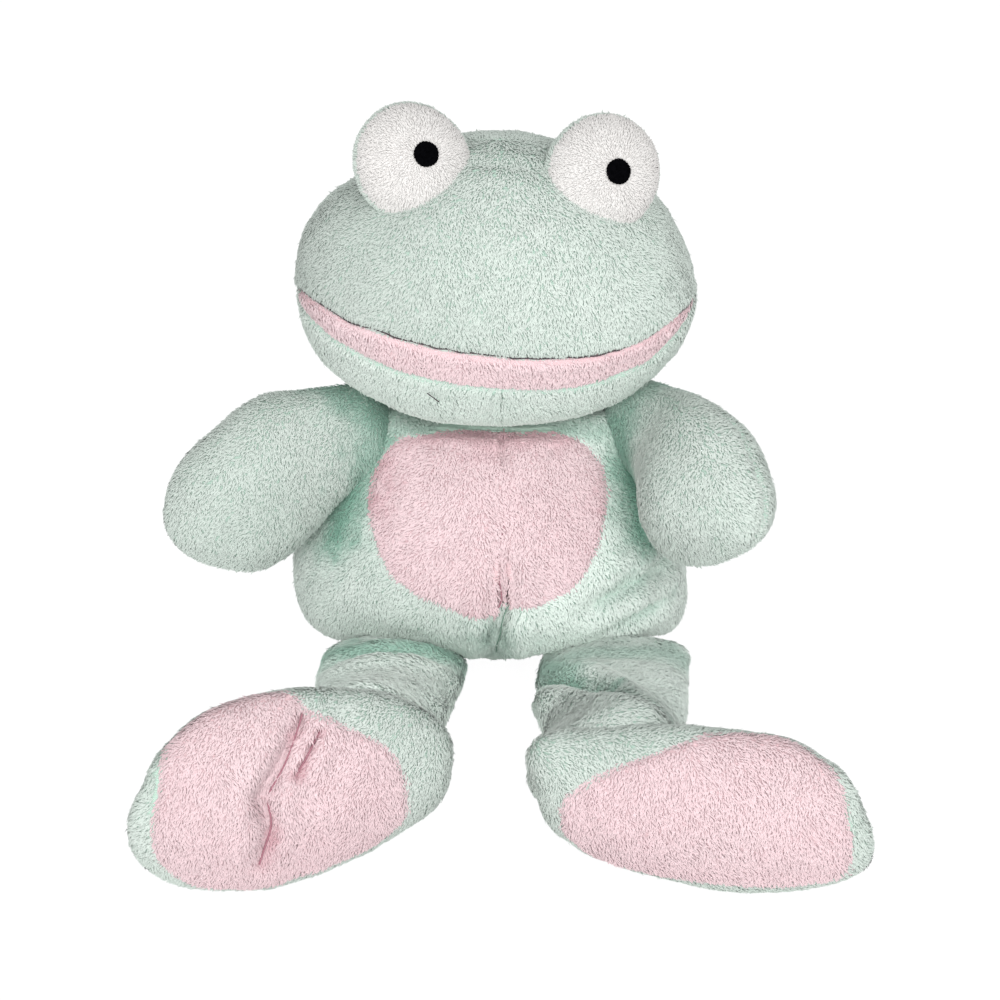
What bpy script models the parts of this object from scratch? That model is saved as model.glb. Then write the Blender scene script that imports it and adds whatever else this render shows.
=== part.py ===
"""Seated plush frog, sewn from cloth panels over a filling. Metres, +Z up, the frog looks along -Y.

The origin is on the floor under the seat. The names left and right are the viewer's, from the front.
Each form is a ring-by-ring loft. Its cloth panels are shells cut from the loft along its seams, and
its filling is the same loft drawn in by the cloth's thickness.
"""
import math

import bmesh
import bpy
from mathutils import Matrix, Vector

MM = 0.001

# Cloth, seams and clearances
CLOTH = 3.0 * MM
SEAM_GAP = 0.4 * MM
FIT_GAP = 0.35 * MM
FLAT_DEPTH = 0.5 * MM
CUT_OVERRUN = 30.0 * MM
SHARP_ANGLE = math.radians(50.0)
LEAST_CORNER_SHARE = 0.12

# Torso, a pear that leans back
TORSO_HEIGHT = 98.0 * MM
TORSO_HALF_LEFT = 80.0 * MM
TORSO_HALF_RIGHT = 73.0 * MM
TORSO_FRONT = 60.0 * MM
TORSO_BACK = 55.0 * MM
TORSO_SIDES = 24
TORSO_PROFILE_SHARES = (
    # height, half width, front, back, half angle of the belly patch
    (0.000, 0.40, -0.18, 0.44, 0.20),
    (0.018, 0.84, -0.36, 0.77, 0.20),
    (0.075, 0.935, -0.56, 0.89, 0.20),
    (0.190, 0.985, -0.86, 0.96, 0.18),
    (0.330, 1.000, -1.00, 1.00, 0.16),
    (0.445, 0.985, -0.97, 1.00, 0.26),
    (0.545, 0.925, -0.88, 0.97, 0.42),
    (0.650, 0.860, -0.76, 0.93, 0.50),
    (0.755, 0.775, -0.62, 0.85, 0.51),
    (0.855, 0.680, -0.46, 0.74, 0.48),
    (0.935, 0.570, -0.32, 0.62, 0.44),
    (0.985, 0.430, -0.20, 0.47, 0.40),
    (1.002, 0.250, -0.08, 0.32, 0.30),
)
PATCH_FIRST_ROW = 6
PATCH_END_ROW = 12
PATCH_HALF_COLUMNS = 3
PATCH_LEFT_SHARE = 1.12
PATCH_RIGHT_SHARE = 0.90

# Head, a wide squashed ball with its poles at the corners of the mouth
HEAD_X = -1.5 * MM
HEAD_Y = 5.0 * MM
HEAD_RISE = 51.0 * MM
HEAD_HALF_WIDTH = 77.5 * MM
HEAD_HALF_DEPTH = 54.0 * MM
HEAD_UPPER_HEIGHT = 62.0 * MM
HEAD_LOWER_HEIGHT = 55.0 * MM
HEAD_ROWS = 14
HEAD_FULLNESS_SHARE = 0.9
HEAD_TAPER_SHARE = 0.2
MOUTH_TOP_ANGLE = math.radians(-5.5)
MOUTH_TOP_BEND = math.radians(17.0)
MOUTH_LOW_ANGLE = math.radians(-21.5)
MOUTH_LOW_BEND = math.radians(15.5)
MOUTH_RIGHT_DROP = math.radians(8.5)
MOUTH_DROP_SHARE = 0.6
CROWN_SEAM_ANGLE = math.radians(90.0)
NAPE_SEAM_ANGLE = math.radians(250.0)
FACE_COLUMNS = 6
BACK_COLUMNS = 11
CHIN_COLUMNS = 6
NECK_Y = 8.0 * MM

# Eyes, flat bumps that stand on top of the head
EYE_RADIUS = 22.5 * MM
EYE_HALF_DEPTH = 15.0 * MM
EYE_RISE_SHARE = 0.887
EYE_FORWARD_SHARE = 0.241
EYE_LEFT_OUT_SHARE = 0.407
EYE_RIGHT_OUT_SHARE = 0.490
EYE_RIGHT_DROP = 4.5 * MM
EYE_PITCH = math.radians(25.0)
EYE_YAW = math.radians(5.0)
EYE_SEAM_ANGLE = math.radians(74.0)
EYE_WHITE_ROWS = 4
EYE_BACK_ROWS = 4
EYE_SIDES = 16
PUPIL_RADIUS = 5.0 * MM
PUPIL_THICKNESS = 0.9 * MM
PUPIL_LEFT_OFFSET = (4.6 * MM, 1.1 * MM)
PUPIL_RIGHT_OFFSET = (3.5 * MM, -1.0 * MM)
PUPIL_RINGS = 2
PUPIL_SIDES = 14

# Arms, mittens pinched flat at a seam that runs down the side of the torso
SHOULDER_LEFT_OUT_SHARE = 0.675
SHOULDER_RIGHT_OUT_SHARE = 0.7397
SHOULDER_RISE_SHARE = 0.888
SHOULDER_Y = 1.0 * MM
SHOULDER_RADIUS = 13.0 * MM
SHOULDER_HALF_WIDTH = 18.0 * MM
SHOULDER_LEAN = math.radians(28.0)
ARM_LENGTH = 80.0 * MM
ARM_HALF_WIDTH = 32.0 * MM
ARM_HALF_THICKNESS = 20.0 * MM
ARM_WIDEST_SHARE = 0.55
ARM_LEFT_YAW = math.radians(22.0)
ARM_RIGHT_YAW = math.radians(60.0)
ARM_LEFT_DROOP = math.radians(12.0)
ARM_RIGHT_DROOP = math.radians(-1.0)
ARM_SWING_FORWARD = math.radians(15.0)
ARM_SWING_BACK = math.radians(30.0)
ARM_SWING_SPARE = 0.4 * MM
ARM_ROWS = 10
ARM_SIDES = 12

# Legs, pinched flat at the hip and round at the ankle
HIP_LEFT_OUT_SHARE = 0.525
HIP_RIGHT_OUT_SHARE = 0.5753
HIP_FORWARD_SHARE = 0.8
HIP_RADIUS = 12.5 * MM
HIP_HALF_WIDTH = 29.0 * MM
HIP_LIFT = math.radians(8.0)
HIP_SPARE = math.radians(1.5)
LEG_LEFT_LENGTH = 91.0 * MM
LEG_RIGHT_LENGTH = 100.0 * MM
LEG_LEFT_SPREAD = 6.0 * MM
LEG_RIGHT_SPREAD = 1.0 * MM
ANKLE_RISE = 16.0 * MM
ANKLE_RADIUS = 22.0 * MM
LEG_MID_HALF_WIDTH = 30.0 * MM
LEG_ROWS = 10
LEG_SIDES = 12

# Feet, long flat paddles that lie on edge with the sole to the front
FOOT_LEFT_HALF_LENGTH = 60.0 * MM
FOOT_RIGHT_HALF_LENGTH = 63.0 * MM
FOOT_LEFT_HALF_HEIGHT = 37.0 * MM
FOOT_RIGHT_HALF_HEIGHT = 31.0 * MM
FOOT_HALF_THICKNESS = 20.0 * MM
FOOT_LEFT_OUT = 27.0 * MM
FOOT_RIGHT_OUT = 25.0 * MM
FOOT_LEFT_FORWARD = 29.0 * MM
FOOT_RIGHT_FORWARD = 24.0 * MM
FOOT_LEFT_YAW = math.radians(22.0)
FOOT_RIGHT_YAW = math.radians(13.0)
FOOT_TILT = math.radians(8.0)
FOOT_TOE_SHARE = 0.10
FOOT_ROWS = 11
FOOT_SIDES = 16
SOLE_FIRST_ROW = 2
SOLE_HALF_COLUMNS = 4
SOLE_EDGE_ANGLE = math.radians(68.0)
SOLE_FLAT_SHARE = 0.85
SOLE_END_SHARE = 0.9
SOLE_LEFT_HEEL_SHARE = 0.95
SOLE_RIGHT_HEEL_SHARE = 0.55
SOLE_LEAST_SHARE = 0.12
FOOT_FULLNESS_SHARE = 0.85

# Sides of the round cutters, and steps of their quarter turns
CUTTER_SIDES = 20
CUTTER_STEPS = 10

MINT = (0.56, 0.68, 0.60)
PINK = (0.84, 0.62, 0.66)
WHITE = (0.86, 0.84, 0.82)
BLACK = (0.01, 0.01, 0.012)
FILLING = (0.90, 0.90, 0.88)


def clear_scene():
    for item in list(bpy.data.objects):
        bpy.data.objects.remove(item, do_unlink=True)


def material(name, colour, roughness):
    found = bpy.data.materials.new(name)
    found.use_nodes = True
    shader = found.node_tree.nodes["Principled BSDF"]
    shader.inputs["Base Color"].default_value = (*colour, 1.0)
    shader.inputs["Roughness"].default_value = roughness
    shader.inputs["Metallic"].default_value = 0.0
    return found


def smooth(share):
    share = min(max(share, 0.0), 1.0)
    return share * share * (3.0 - 2.0 * share)


class Form:
    """A closed loft: a pole, rings of points, and a pole."""

    def __init__(self, first_pole, rings, last_pole):
        self.sides = len(rings[0])
        self.points = [first_pole] + [point for ring in rings for point in ring] + [last_pole]
        self.rings = len(rings)
        self.normals = self.find_normals()

    def index(self, row, column):
        if row == 0:
            return 0
        if row > self.rings:
            return len(self.points) - 1
        return 1 + (row - 1) * self.sides + column % self.sides

    def cell(self, row, column):
        corners = [self.index(row, column), self.index(row, column + 1),
                   self.index(row + 1, column + 1), self.index(row + 1, column)]
        return [corner for place, corner in enumerate(corners) if corner not in corners[:place]]

    def cells(self):
        return [(row, column) for row in range(self.rings + 1) for column in range(self.sides)]

    def find_normals(self):
        mesh = bmesh.new()
        corners = [mesh.verts.new(point) for point in self.points]
        for row, column in self.cells():
            mesh.faces.new([corners[i] for i in self.cell(row, column)])
        bmesh.ops.recalc_face_normals(mesh, faces=mesh.faces)
        mesh.normal_update()
        normals = [corner.normal.copy() for corner in corners]
        mesh.free()
        return normals

    def inset(self, depth):
        return [point - normal * depth for point, normal in zip(self.points, self.normals)]


def finish_mesh(name, points, faces, pivot):
    mesh = bmesh.new()
    corners = [mesh.verts.new(point - pivot) for point in points]
    for face in faces:
        mesh.faces.new([corners[i] for i in face])
    bmesh.ops.recalc_face_normals(mesh, faces=mesh.faces)
    bmesh.ops.triangulate(mesh, faces=[face for face in mesh.faces if len(face.verts) > 3])
    data = bpy.data.meshes.new(name)
    mesh.to_mesh(data)
    mesh.free()
    data.shade_smooth()
    data.set_sharp_from_angle(angle=SHARP_ANGLE)
    return data


def place(name, data, surface, holder):
    item = bpy.data.objects.new(name, data)
    bpy.context.scene.collection.objects.link(item)
    if surface is not None:
        item.data.materials.append(surface)
    if holder is not None:
        item.parent = holder
    return item


def holder_at(name, place_at):
    empty = bpy.data.objects.new(name, None)
    empty.location = place_at
    bpy.context.scene.collection.objects.link(empty)
    return empty


def solid(name, form, depth, surface, holder):
    """The whole form drawn in by a depth, as one closed body."""
    faces = [form.cell(row, column) for row, column in form.cells()]
    pivot = holder.location if holder else Vector()
    return place(name, finish_mesh(name, form.inset(depth), faces, pivot), surface, holder)


def panel(name, form, chosen, surface, holder):
    """The chosen cells as one cloth shell, its border drawn back by half the seam's gap."""
    faces = [form.cell(row, column) for row, column in chosen]
    edges = {}
    for face in faces:
        for start, end in zip(face, face[1:] + face[:1]):
            edges.setdefault((min(start, end), max(start, end)), []).append((start, end))
    border = [uses[0] for uses in edges.values() if len(uses) == 1]
    on_border = {corner for edge in border for corner in edge}
    spans = {}
    inward = {}
    for face in faces:
        middle = sum((form.points[i] for i in face), Vector()) / len(face)
        for place_in, corner in enumerate(face):
            if corner not in on_border:
                continue
            here = form.points[corner]
            before = form.points[face[place_in - 1]] - here
            after = form.points[face[(place_in + 1) % len(face)]] - here
            spans[corner] = spans.get(corner, 0.0) + before.angle(after)
            inward[corner] = inward.get(corner, Vector()) + (middle - here).normalized()
    outer = {}
    inner = {}
    for corner in {i for face in faces for i in face}:
        point = form.points[corner]
        normal = form.normals[corner]
        if corner in on_border:
            step = inward[corner] - normal * inward[corner].dot(normal)
            width = max(math.sin(min(spans[corner], 2.0 * math.pi) / 2.0), LEAST_CORNER_SHARE)
            point = point + step.normalized() * (SEAM_GAP / 2.0 / width)
        outer[corner] = point
        inner[corner] = point - normal * CLOTH
    order = sorted(outer)
    number = {corner: place_in for place_in, corner in enumerate(order)}
    count = len(order)
    points = [outer[corner] for corner in order] + [inner[corner] for corner in order]
    shell = [[number[i] for i in face] for face in faces]
    shell += [[number[i] + count for i in reversed(face)] for face in faces]
    for start, end in border:
        shell.append([number[end], number[start], number[start] + count, number[end] + count])
    pivot = holder.location if holder else Vector()
    return place(name, finish_mesh(name, points, shell, pivot), surface, holder)


def as_cutter(item):
    item.hide_render = True
    item.display_type = "WIRE"
    return item


def cutter_box(name, low, high):
    mesh = bmesh.new()
    bmesh.ops.create_cube(mesh, size=1.0)
    size = high - low
    bmesh.ops.transform(mesh, matrix=Matrix.Translation((low + high) / 2.0) @ Matrix.Diagonal((*size, 1.0)),
                        verts=mesh.verts)
    data = bpy.data.meshes.new(name)
    mesh.to_mesh(data)
    mesh.free()
    return as_cutter(place(name, data, None, None))


def cutter_rod(name, centre, basis, radius, half_length):
    """A round rod, its length along the third direction of the basis."""
    mesh = bmesh.new()
    bmesh.ops.create_cone(mesh, cap_ends=True, segments=CUTTER_SIDES, radius1=radius, radius2=radius,
                          depth=2.0 * half_length)
    bmesh.ops.transform(mesh, matrix=Matrix.Translation(centre) @ basis.to_4x4(), verts=mesh.verts)
    data = bpy.data.meshes.new(name)
    mesh.to_mesh(data)
    mesh.free()
    return as_cutter(place(name, data, None, None))


def cutter_prism(name, outline, start, end):
    """An outline in the YZ plane run along X from start to end."""
    mesh = bmesh.new()
    near = [mesh.verts.new((start, y, z)) for y, z in outline]
    far = [mesh.verts.new((end, y, z)) for y, z in outline]
    mesh.faces.new(near)
    mesh.faces.new(list(reversed(far)))
    for i in range(len(outline)):
        j = (i + 1) % len(outline)
        mesh.faces.new((near[i], far[i], far[j], near[j]))
    bmesh.ops.recalc_face_normals(mesh, faces=mesh.faces)
    data = bpy.data.meshes.new(name)
    mesh.to_mesh(data)
    mesh.free()
    return as_cutter(place(name, data, None, None))


def cutter_lathe(name, axis_at, profile):
    """A closed body turned about the Y axis through a point. Profile pairs are (y, radius)."""
    rings = []
    for y, radius in profile[1:]:
        rings.append([Vector((axis_at.x + radius * math.cos(2.0 * math.pi * i / CUTTER_SIDES), y,
                              axis_at.z + radius * math.sin(2.0 * math.pi * i / CUTTER_SIDES)))
                      for i in range(CUTTER_SIDES)])
    first = Vector((axis_at.x, profile[0][0], axis_at.z))
    last = Vector((axis_at.x, profile[-1][0], axis_at.z))
    return as_cutter(solid(name, Form(first, rings, last), 0.0, None, None))


def cut(items, cutter):
    for item in items:
        step = item.modifiers.new("cut_" + cutter.name, "BOOLEAN")
        step.operation = "DIFFERENCE"
        step.solver = "EXACT"
        step.object = cutter


def torso_form():
    rings = []
    half_turn = TORSO_SIDES // 2
    quarter = TORSO_SIDES // 4
    for height, width, front, back, patch in TORSO_PROFILE_SHARES:
        middle = (front * TORSO_FRONT + back * TORSO_BACK) / 2.0
        depth = (back * TORSO_BACK - front * TORSO_FRONT) / 2.0
        level = height * (TORSO_HEIGHT + FLAT_DEPTH) - FLAT_DEPTH
        ring = []
        for column in range(TORSO_SIDES):
            if column <= half_turn:
                angle = math.pi * column / half_turn
            else:
                offset = column - half_turn - quarter
                spread = PATCH_LEFT_SHARE if offset < 0 else PATCH_RIGHT_SHARE
                edge = patch * spread * math.pi / 2.0
                if abs(offset) <= PATCH_HALF_COLUMNS:
                    turn = edge * offset / PATCH_HALF_COLUMNS
                else:
                    spare = (abs(offset) - PATCH_HALF_COLUMNS) / (quarter - PATCH_HALF_COLUMNS)
                    turn = math.copysign(edge + (math.pi / 2.0 - edge) * spare, offset)
                angle = 1.5 * math.pi + turn
            half_width = TORSO_HALF_LEFT if math.cos(angle) < 0.0 else TORSO_HALF_RIGHT
            ring.append(Vector((width * half_width * math.cos(angle),
                                middle + depth * math.sin(angle), level)))
        rings.append(ring)
    first = TORSO_PROFILE_SHARES[0]
    last = TORSO_PROFILE_SHARES[-1]
    low = Vector((0.0, (first[2] * TORSO_FRONT + first[3] * TORSO_BACK) / 2.0, -FLAT_DEPTH))
    high = Vector((0.0, (last[2] * TORSO_FRONT + last[3] * TORSO_BACK) / 2.0, TORSO_HEIGHT + FLAT_DEPTH))
    return Form(low, rings, high)


def head_angles(share):
    """The angle of each long line round the head, at a share of the half width."""
    drop = MOUTH_RIGHT_DROP * smooth(share / MOUTH_DROP_SHARE)
    low = MOUTH_LOW_ANGLE + MOUTH_LOW_BEND * share * share - drop
    top = MOUTH_TOP_ANGLE + MOUTH_TOP_BEND * share * share - drop
    lines = [low]
    for column in range(FACE_COLUMNS):
        lines.append(top + (CROWN_SEAM_ANGLE - top) * column / FACE_COLUMNS)
    for column in range(BACK_COLUMNS):
        lines.append(CROWN_SEAM_ANGLE + (NAPE_SEAM_ANGLE - CROWN_SEAM_ANGLE) * column / BACK_COLUMNS)
    for column in range(CHIN_COLUMNS):
        lines.append(NAPE_SEAM_ANGLE + (low + 2.0 * math.pi - NAPE_SEAM_ANGLE) * column / CHIN_COLUMNS)
    return lines


def head_centre():
    return Vector((HEAD_X, HEAD_Y, TORSO_HEIGHT + HEAD_RISE))


def head_form():
    rings = []
    centre = head_centre()
    for row in range(1, HEAD_ROWS):
        along = -math.cos(math.pi * row / HEAD_ROWS)
        round_share = math.sin(math.pi * row / HEAD_ROWS) ** HEAD_FULLNESS_SHARE
        ring = []
        for angle in head_angles(along):
            rise = math.sin(angle)
            half_height = HEAD_UPPER_HEIGHT if rise > 0.0 else HEAD_LOWER_HEIGHT
            narrowed = 1.0 - HEAD_TAPER_SHARE * (max(rise, 0.0) * round_share) ** 2
            ring.append(centre + Vector((along * HEAD_HALF_WIDTH * narrowed,
                                         -round_share * HEAD_HALF_DEPTH * math.cos(angle),
                                         round_share * half_height * rise)))
        rings.append(ring)
    reach = Vector((HEAD_HALF_WIDTH, 0.0, 0.0))
    return Form(centre - reach, rings, centre + reach)


def eye_frame(side):
    """Centre, forward, across and up of an eye. Side is -1 on the left and 1 on the right."""
    out = EYE_LEFT_OUT_SHARE if side < 0 else EYE_RIGHT_OUT_SHARE
    drop = 0.0 if side < 0 else EYE_RIGHT_DROP
    forward = Vector((math.sin(EYE_YAW), -math.cos(EYE_PITCH), math.sin(EYE_PITCH))).normalized()
    across = forward.cross(Vector((0.0, 0.0, 1.0))).normalized() * -1.0
    if across.x < 0.0:
        across = across * -1.0
    up = across.cross(forward).normalized()
    if up.z < 0.0:
        up = up * -1.0
    centre = head_centre() + Vector((side * out * HEAD_HALF_WIDTH, -EYE_FORWARD_SHARE * HEAD_HALF_DEPTH,
                                     EYE_RISE_SHARE * HEAD_UPPER_HEIGHT - drop))
    return centre, forward, across, up


def eye_form(side):
    centre, forward, across, up = eye_frame(side)
    rings = []
    for row in range(1, EYE_WHITE_ROWS + EYE_BACK_ROWS):
        tilt = EYE_SEAM_ANGLE * row / EYE_WHITE_ROWS
        if row > EYE_WHITE_ROWS:
            tilt = EYE_SEAM_ANGLE + (math.pi - EYE_SEAM_ANGLE) * (row - EYE_WHITE_ROWS) / EYE_BACK_ROWS
        ring = []
        for column in range(EYE_SIDES):
            turn = 2.0 * math.pi * column / EYE_SIDES
            spread = EYE_RADIUS * math.sin(tilt)
            ring.append(centre + forward * (EYE_HALF_DEPTH * math.cos(tilt))
                        + across * (spread * math.cos(turn)) + up * (spread * math.sin(turn)))
        rings.append(ring)
    return Form(centre + forward * EYE_HALF_DEPTH, rings, centre - forward * EYE_HALF_DEPTH)


def pupil(name, side, offset, surface, holder):
    """A thin embroidered disc that follows the front of the eye."""
    centre, forward, across, up = eye_frame(side)

    def on_eye(right, rise, lift):
        share = min(1.0, (right * right + rise * rise) / (EYE_RADIUS * EYE_RADIUS))
        height = EYE_HALF_DEPTH * math.sqrt(1.0 - share)
        return centre + across * right + up * rise + forward * (height + lift)

    def ring(radius, lift):
        return [on_eye(offset[0] + radius * math.cos(2.0 * math.pi * i / PUPIL_SIDES),
                       offset[1] + radius * math.sin(2.0 * math.pi * i / PUPIL_SIDES), lift)
                for i in range(PUPIL_SIDES)]

    lifts = []
    for step in range(PUPIL_RINGS):
        lifts.append((PUPIL_RADIUS * (step + 1) / PUPIL_RINGS, FIT_GAP))
    for step in reversed(range(PUPIL_RINGS)):
        rise = PUPIL_THICKNESS if step < PUPIL_RINGS - 1 else PUPIL_THICKNESS / 2.0
        lifts.append((PUPIL_RADIUS * (step + 1) / PUPIL_RINGS, FIT_GAP + rise))
    rings = [ring(radius, lift) for radius, lift in lifts]
    form = Form(on_eye(*offset, FIT_GAP), rings, on_eye(*offset, FIT_GAP + PUPIL_THICKNESS))
    return solid(name, form, 0.0, surface, holder)


def shoulder_frame(side):
    """The shoulder point, the seam's direction, and the arm's direction and thickness."""
    yaw = ARM_LEFT_YAW if side < 0 else ARM_RIGHT_YAW
    droop = ARM_LEFT_DROOP if side < 0 else ARM_RIGHT_DROOP
    out = (SHOULDER_LEFT_OUT_SHARE * TORSO_HALF_LEFT if side < 0
           else SHOULDER_RIGHT_OUT_SHARE * TORSO_HALF_RIGHT)
    root = Vector((side * out, SHOULDER_Y, SHOULDER_RISE_SHARE * TORSO_HEIGHT))
    seam = Vector((0.0, math.sin(SHOULDER_LEAN), math.cos(SHOULDER_LEAN)))
    along = Vector((side * math.cos(yaw) * math.cos(droop), -math.sin(yaw) * math.cos(droop),
                    -math.sin(droop)))
    across = seam.cross(along).normalized()
    square = across.cross(seam).normalized()
    return root, seam, along, across, square


def arm_form(side):
    root, seam, along, across, square = shoulder_frame(side)
    widest = ARM_LENGTH * ARM_WIDEST_SHARE
    drop = along.dot(seam)
    rings = []
    for row in range(1, ARM_ROWS):
        share = (1.0 - math.cos(math.pi * row / ARM_ROWS)) / 2.0
        reach = (ARM_LENGTH + SHOULDER_RADIUS) * share - SHOULDER_RADIUS
        grown = smooth(reach / widest)
        width = SHOULDER_HALF_WIDTH + (ARM_HALF_WIDTH - SHOULDER_HALF_WIDTH) * grown
        thickness = SHOULDER_RADIUS + (ARM_HALF_THICKNESS - SHOULDER_RADIUS) * grown
        centre = root + square * reach
        if reach < 0.0:
            cap = math.sqrt(1.0 - (reach / SHOULDER_RADIUS) ** 2)
            width *= math.sqrt(cap)
            thickness *= cap
        else:
            centre = centre + seam * (drop * reach)
        if reach > widest:
            cap = math.sqrt(1.0 - ((reach - widest) / (ARM_LENGTH - widest)) ** 2)
            width *= cap
            thickness *= cap
        ring = []
        for column in range(ARM_SIDES):
            turn = 2.0 * math.pi * column / ARM_SIDES
            ring.append(centre + seam * (width * math.cos(turn)) + across * (thickness * math.sin(turn)))
        rings.append(ring)
    tip = root + square * ARM_LENGTH + seam * (drop * ARM_LENGTH)
    return Form(root - square * SHOULDER_RADIUS, rings, tip)


def leg_ends(side):
    """The hip and the ankle of a leg."""
    out = HIP_LEFT_OUT_SHARE * TORSO_HALF_LEFT if side < 0 else HIP_RIGHT_OUT_SHARE * TORSO_HALF_RIGHT
    spread = LEG_LEFT_SPREAD if side < 0 else LEG_RIGHT_SPREAD
    length = LEG_LEFT_LENGTH if side < 0 else LEG_RIGHT_LENGTH
    hip = Vector((side * out, -HIP_FORWARD_SHARE * TORSO_FRONT, HIP_RADIUS + FLAT_DEPTH))
    return hip, hip + Vector((side * spread, -length, ANKLE_RISE))


def leg_form(side):
    hip, ankle = leg_ends(side)
    length = hip.y - ankle.y
    whole = length + HIP_RADIUS + ANKLE_RADIUS
    rings = []
    for row in range(1, LEG_ROWS):
        share = (1.0 - math.cos(math.pi * row / LEG_ROWS)) / 2.0
        reach = whole * share - HIP_RADIUS
        part = min(max(reach / length, 0.0), 1.0)
        centre = hip.lerp(ankle, part)
        centre.y = hip.y - reach
        width = HIP_HALF_WIDTH + (ANKLE_RADIUS - HIP_HALF_WIDTH) * smooth(part)
        width += (LEG_MID_HALF_WIDTH - HIP_HALF_WIDTH) * math.sin(math.pi * part)
        height = HIP_RADIUS + (ANKLE_RADIUS - HIP_RADIUS) * part
        if reach < 0.0:
            cap = math.sqrt(1.0 - (reach / HIP_RADIUS) ** 2)
            width *= math.sqrt(cap)
            height *= cap
        if reach > length:
            cap = math.sqrt(1.0 - ((reach - length) / ANKLE_RADIUS) ** 2)
            width *= cap
            height *= cap
        ring = []
        for column in range(LEG_SIDES):
            turn = 2.0 * math.pi * column / LEG_SIDES
            ring.append(centre + Vector((width * math.cos(turn), 0.0, height * math.sin(turn))))
        rings.append(ring)
    ends = (hip + Vector((0.0, HIP_RADIUS, 0.0)), ankle - Vector((0.0, ANKLE_RADIUS, 0.0)))
    return Form(ends[0], rings, ends[1])


def foot_form(side):
    left = side < 0
    yaw = FOOT_LEFT_YAW if left else FOOT_RIGHT_YAW
    half_length = FOOT_LEFT_HALF_LENGTH if left else FOOT_RIGHT_HALF_LENGTH
    half_height = FOOT_LEFT_HALF_HEIGHT if left else FOOT_RIGHT_HALF_HEIGHT
    toe = Vector((side * math.cos(yaw), -math.sin(yaw), 0.0))
    flat = Vector((-side * math.sin(yaw), -math.cos(yaw), 0.0))
    out = flat * math.cos(FOOT_TILT) + Vector((0.0, 0.0, math.sin(FOOT_TILT)))
    rise = Vector((0.0, 0.0, math.cos(FOOT_TILT))) - flat * math.sin(FOOT_TILT)
    tallest = half_height * rise.z
    ankle = leg_ends(side)[1]
    centre = Vector((ankle.x + side * (FOOT_LEFT_OUT if left else FOOT_RIGHT_OUT),
                     ankle.y - (FOOT_LEFT_FORWARD if left else FOOT_RIGHT_FORWARD), tallest - FLAT_DEPTH))
    rings = []
    for row in range(1, FOOT_ROWS):
        along = -math.cos(math.pi * row / FOOT_ROWS)
        round_share = math.sin(math.pi * row / FOOT_ROWS) ** FOOT_FULLNESS_SHARE
        swell = 1.0 + FOOT_TOE_SHARE * along
        height = half_height * round_share * swell
        thickness = FOOT_HALF_THICKNESS * round_share * (1.0 - FOOT_TOE_SHARE * along)
        edge = SOLE_EDGE_ANGLE * math.sqrt(max(1.0 - (along / SOLE_END_SHARE) ** 4,
                                                SOLE_LEAST_SHARE))
        heel = SOLE_LEFT_HEEL_SHARE if left else SOLE_RIGHT_HEEL_SHARE
        top_edge = edge * (heel + (1.0 - heel) * smooth((along + SOLE_END_SHARE) / (2.0 * SOLE_END_SHARE)))
        ring = []
        half = FOOT_SIDES // 2
        for column in range(FOOT_SIDES):
            offset = column - half
            near = top_edge if offset > 0 else edge
            if abs(offset) <= SOLE_HALF_COLUMNS:
                turn = near * offset / SOLE_HALF_COLUMNS
            else:
                spare = (abs(offset) - SOLE_HALF_COLUMNS) / (half - SOLE_HALF_COLUMNS)
                turn = math.copysign(near + (math.pi - near) * spare, offset)
            depth = thickness * math.cos(turn)
            if depth > 0.0:
                depth *= SOLE_FLAT_SHARE
            ring.append(centre + toe * (along * half_length) + out * depth
                        + rise * (height * math.sin(turn)))
        rings.append(ring)
    reach = toe * half_length
    return Form(centre - reach, rings, centre + reach)


def columns(form, rows, first, end):
    return [(row, column % form.sides) for row in rows for column in range(first, end)]


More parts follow.
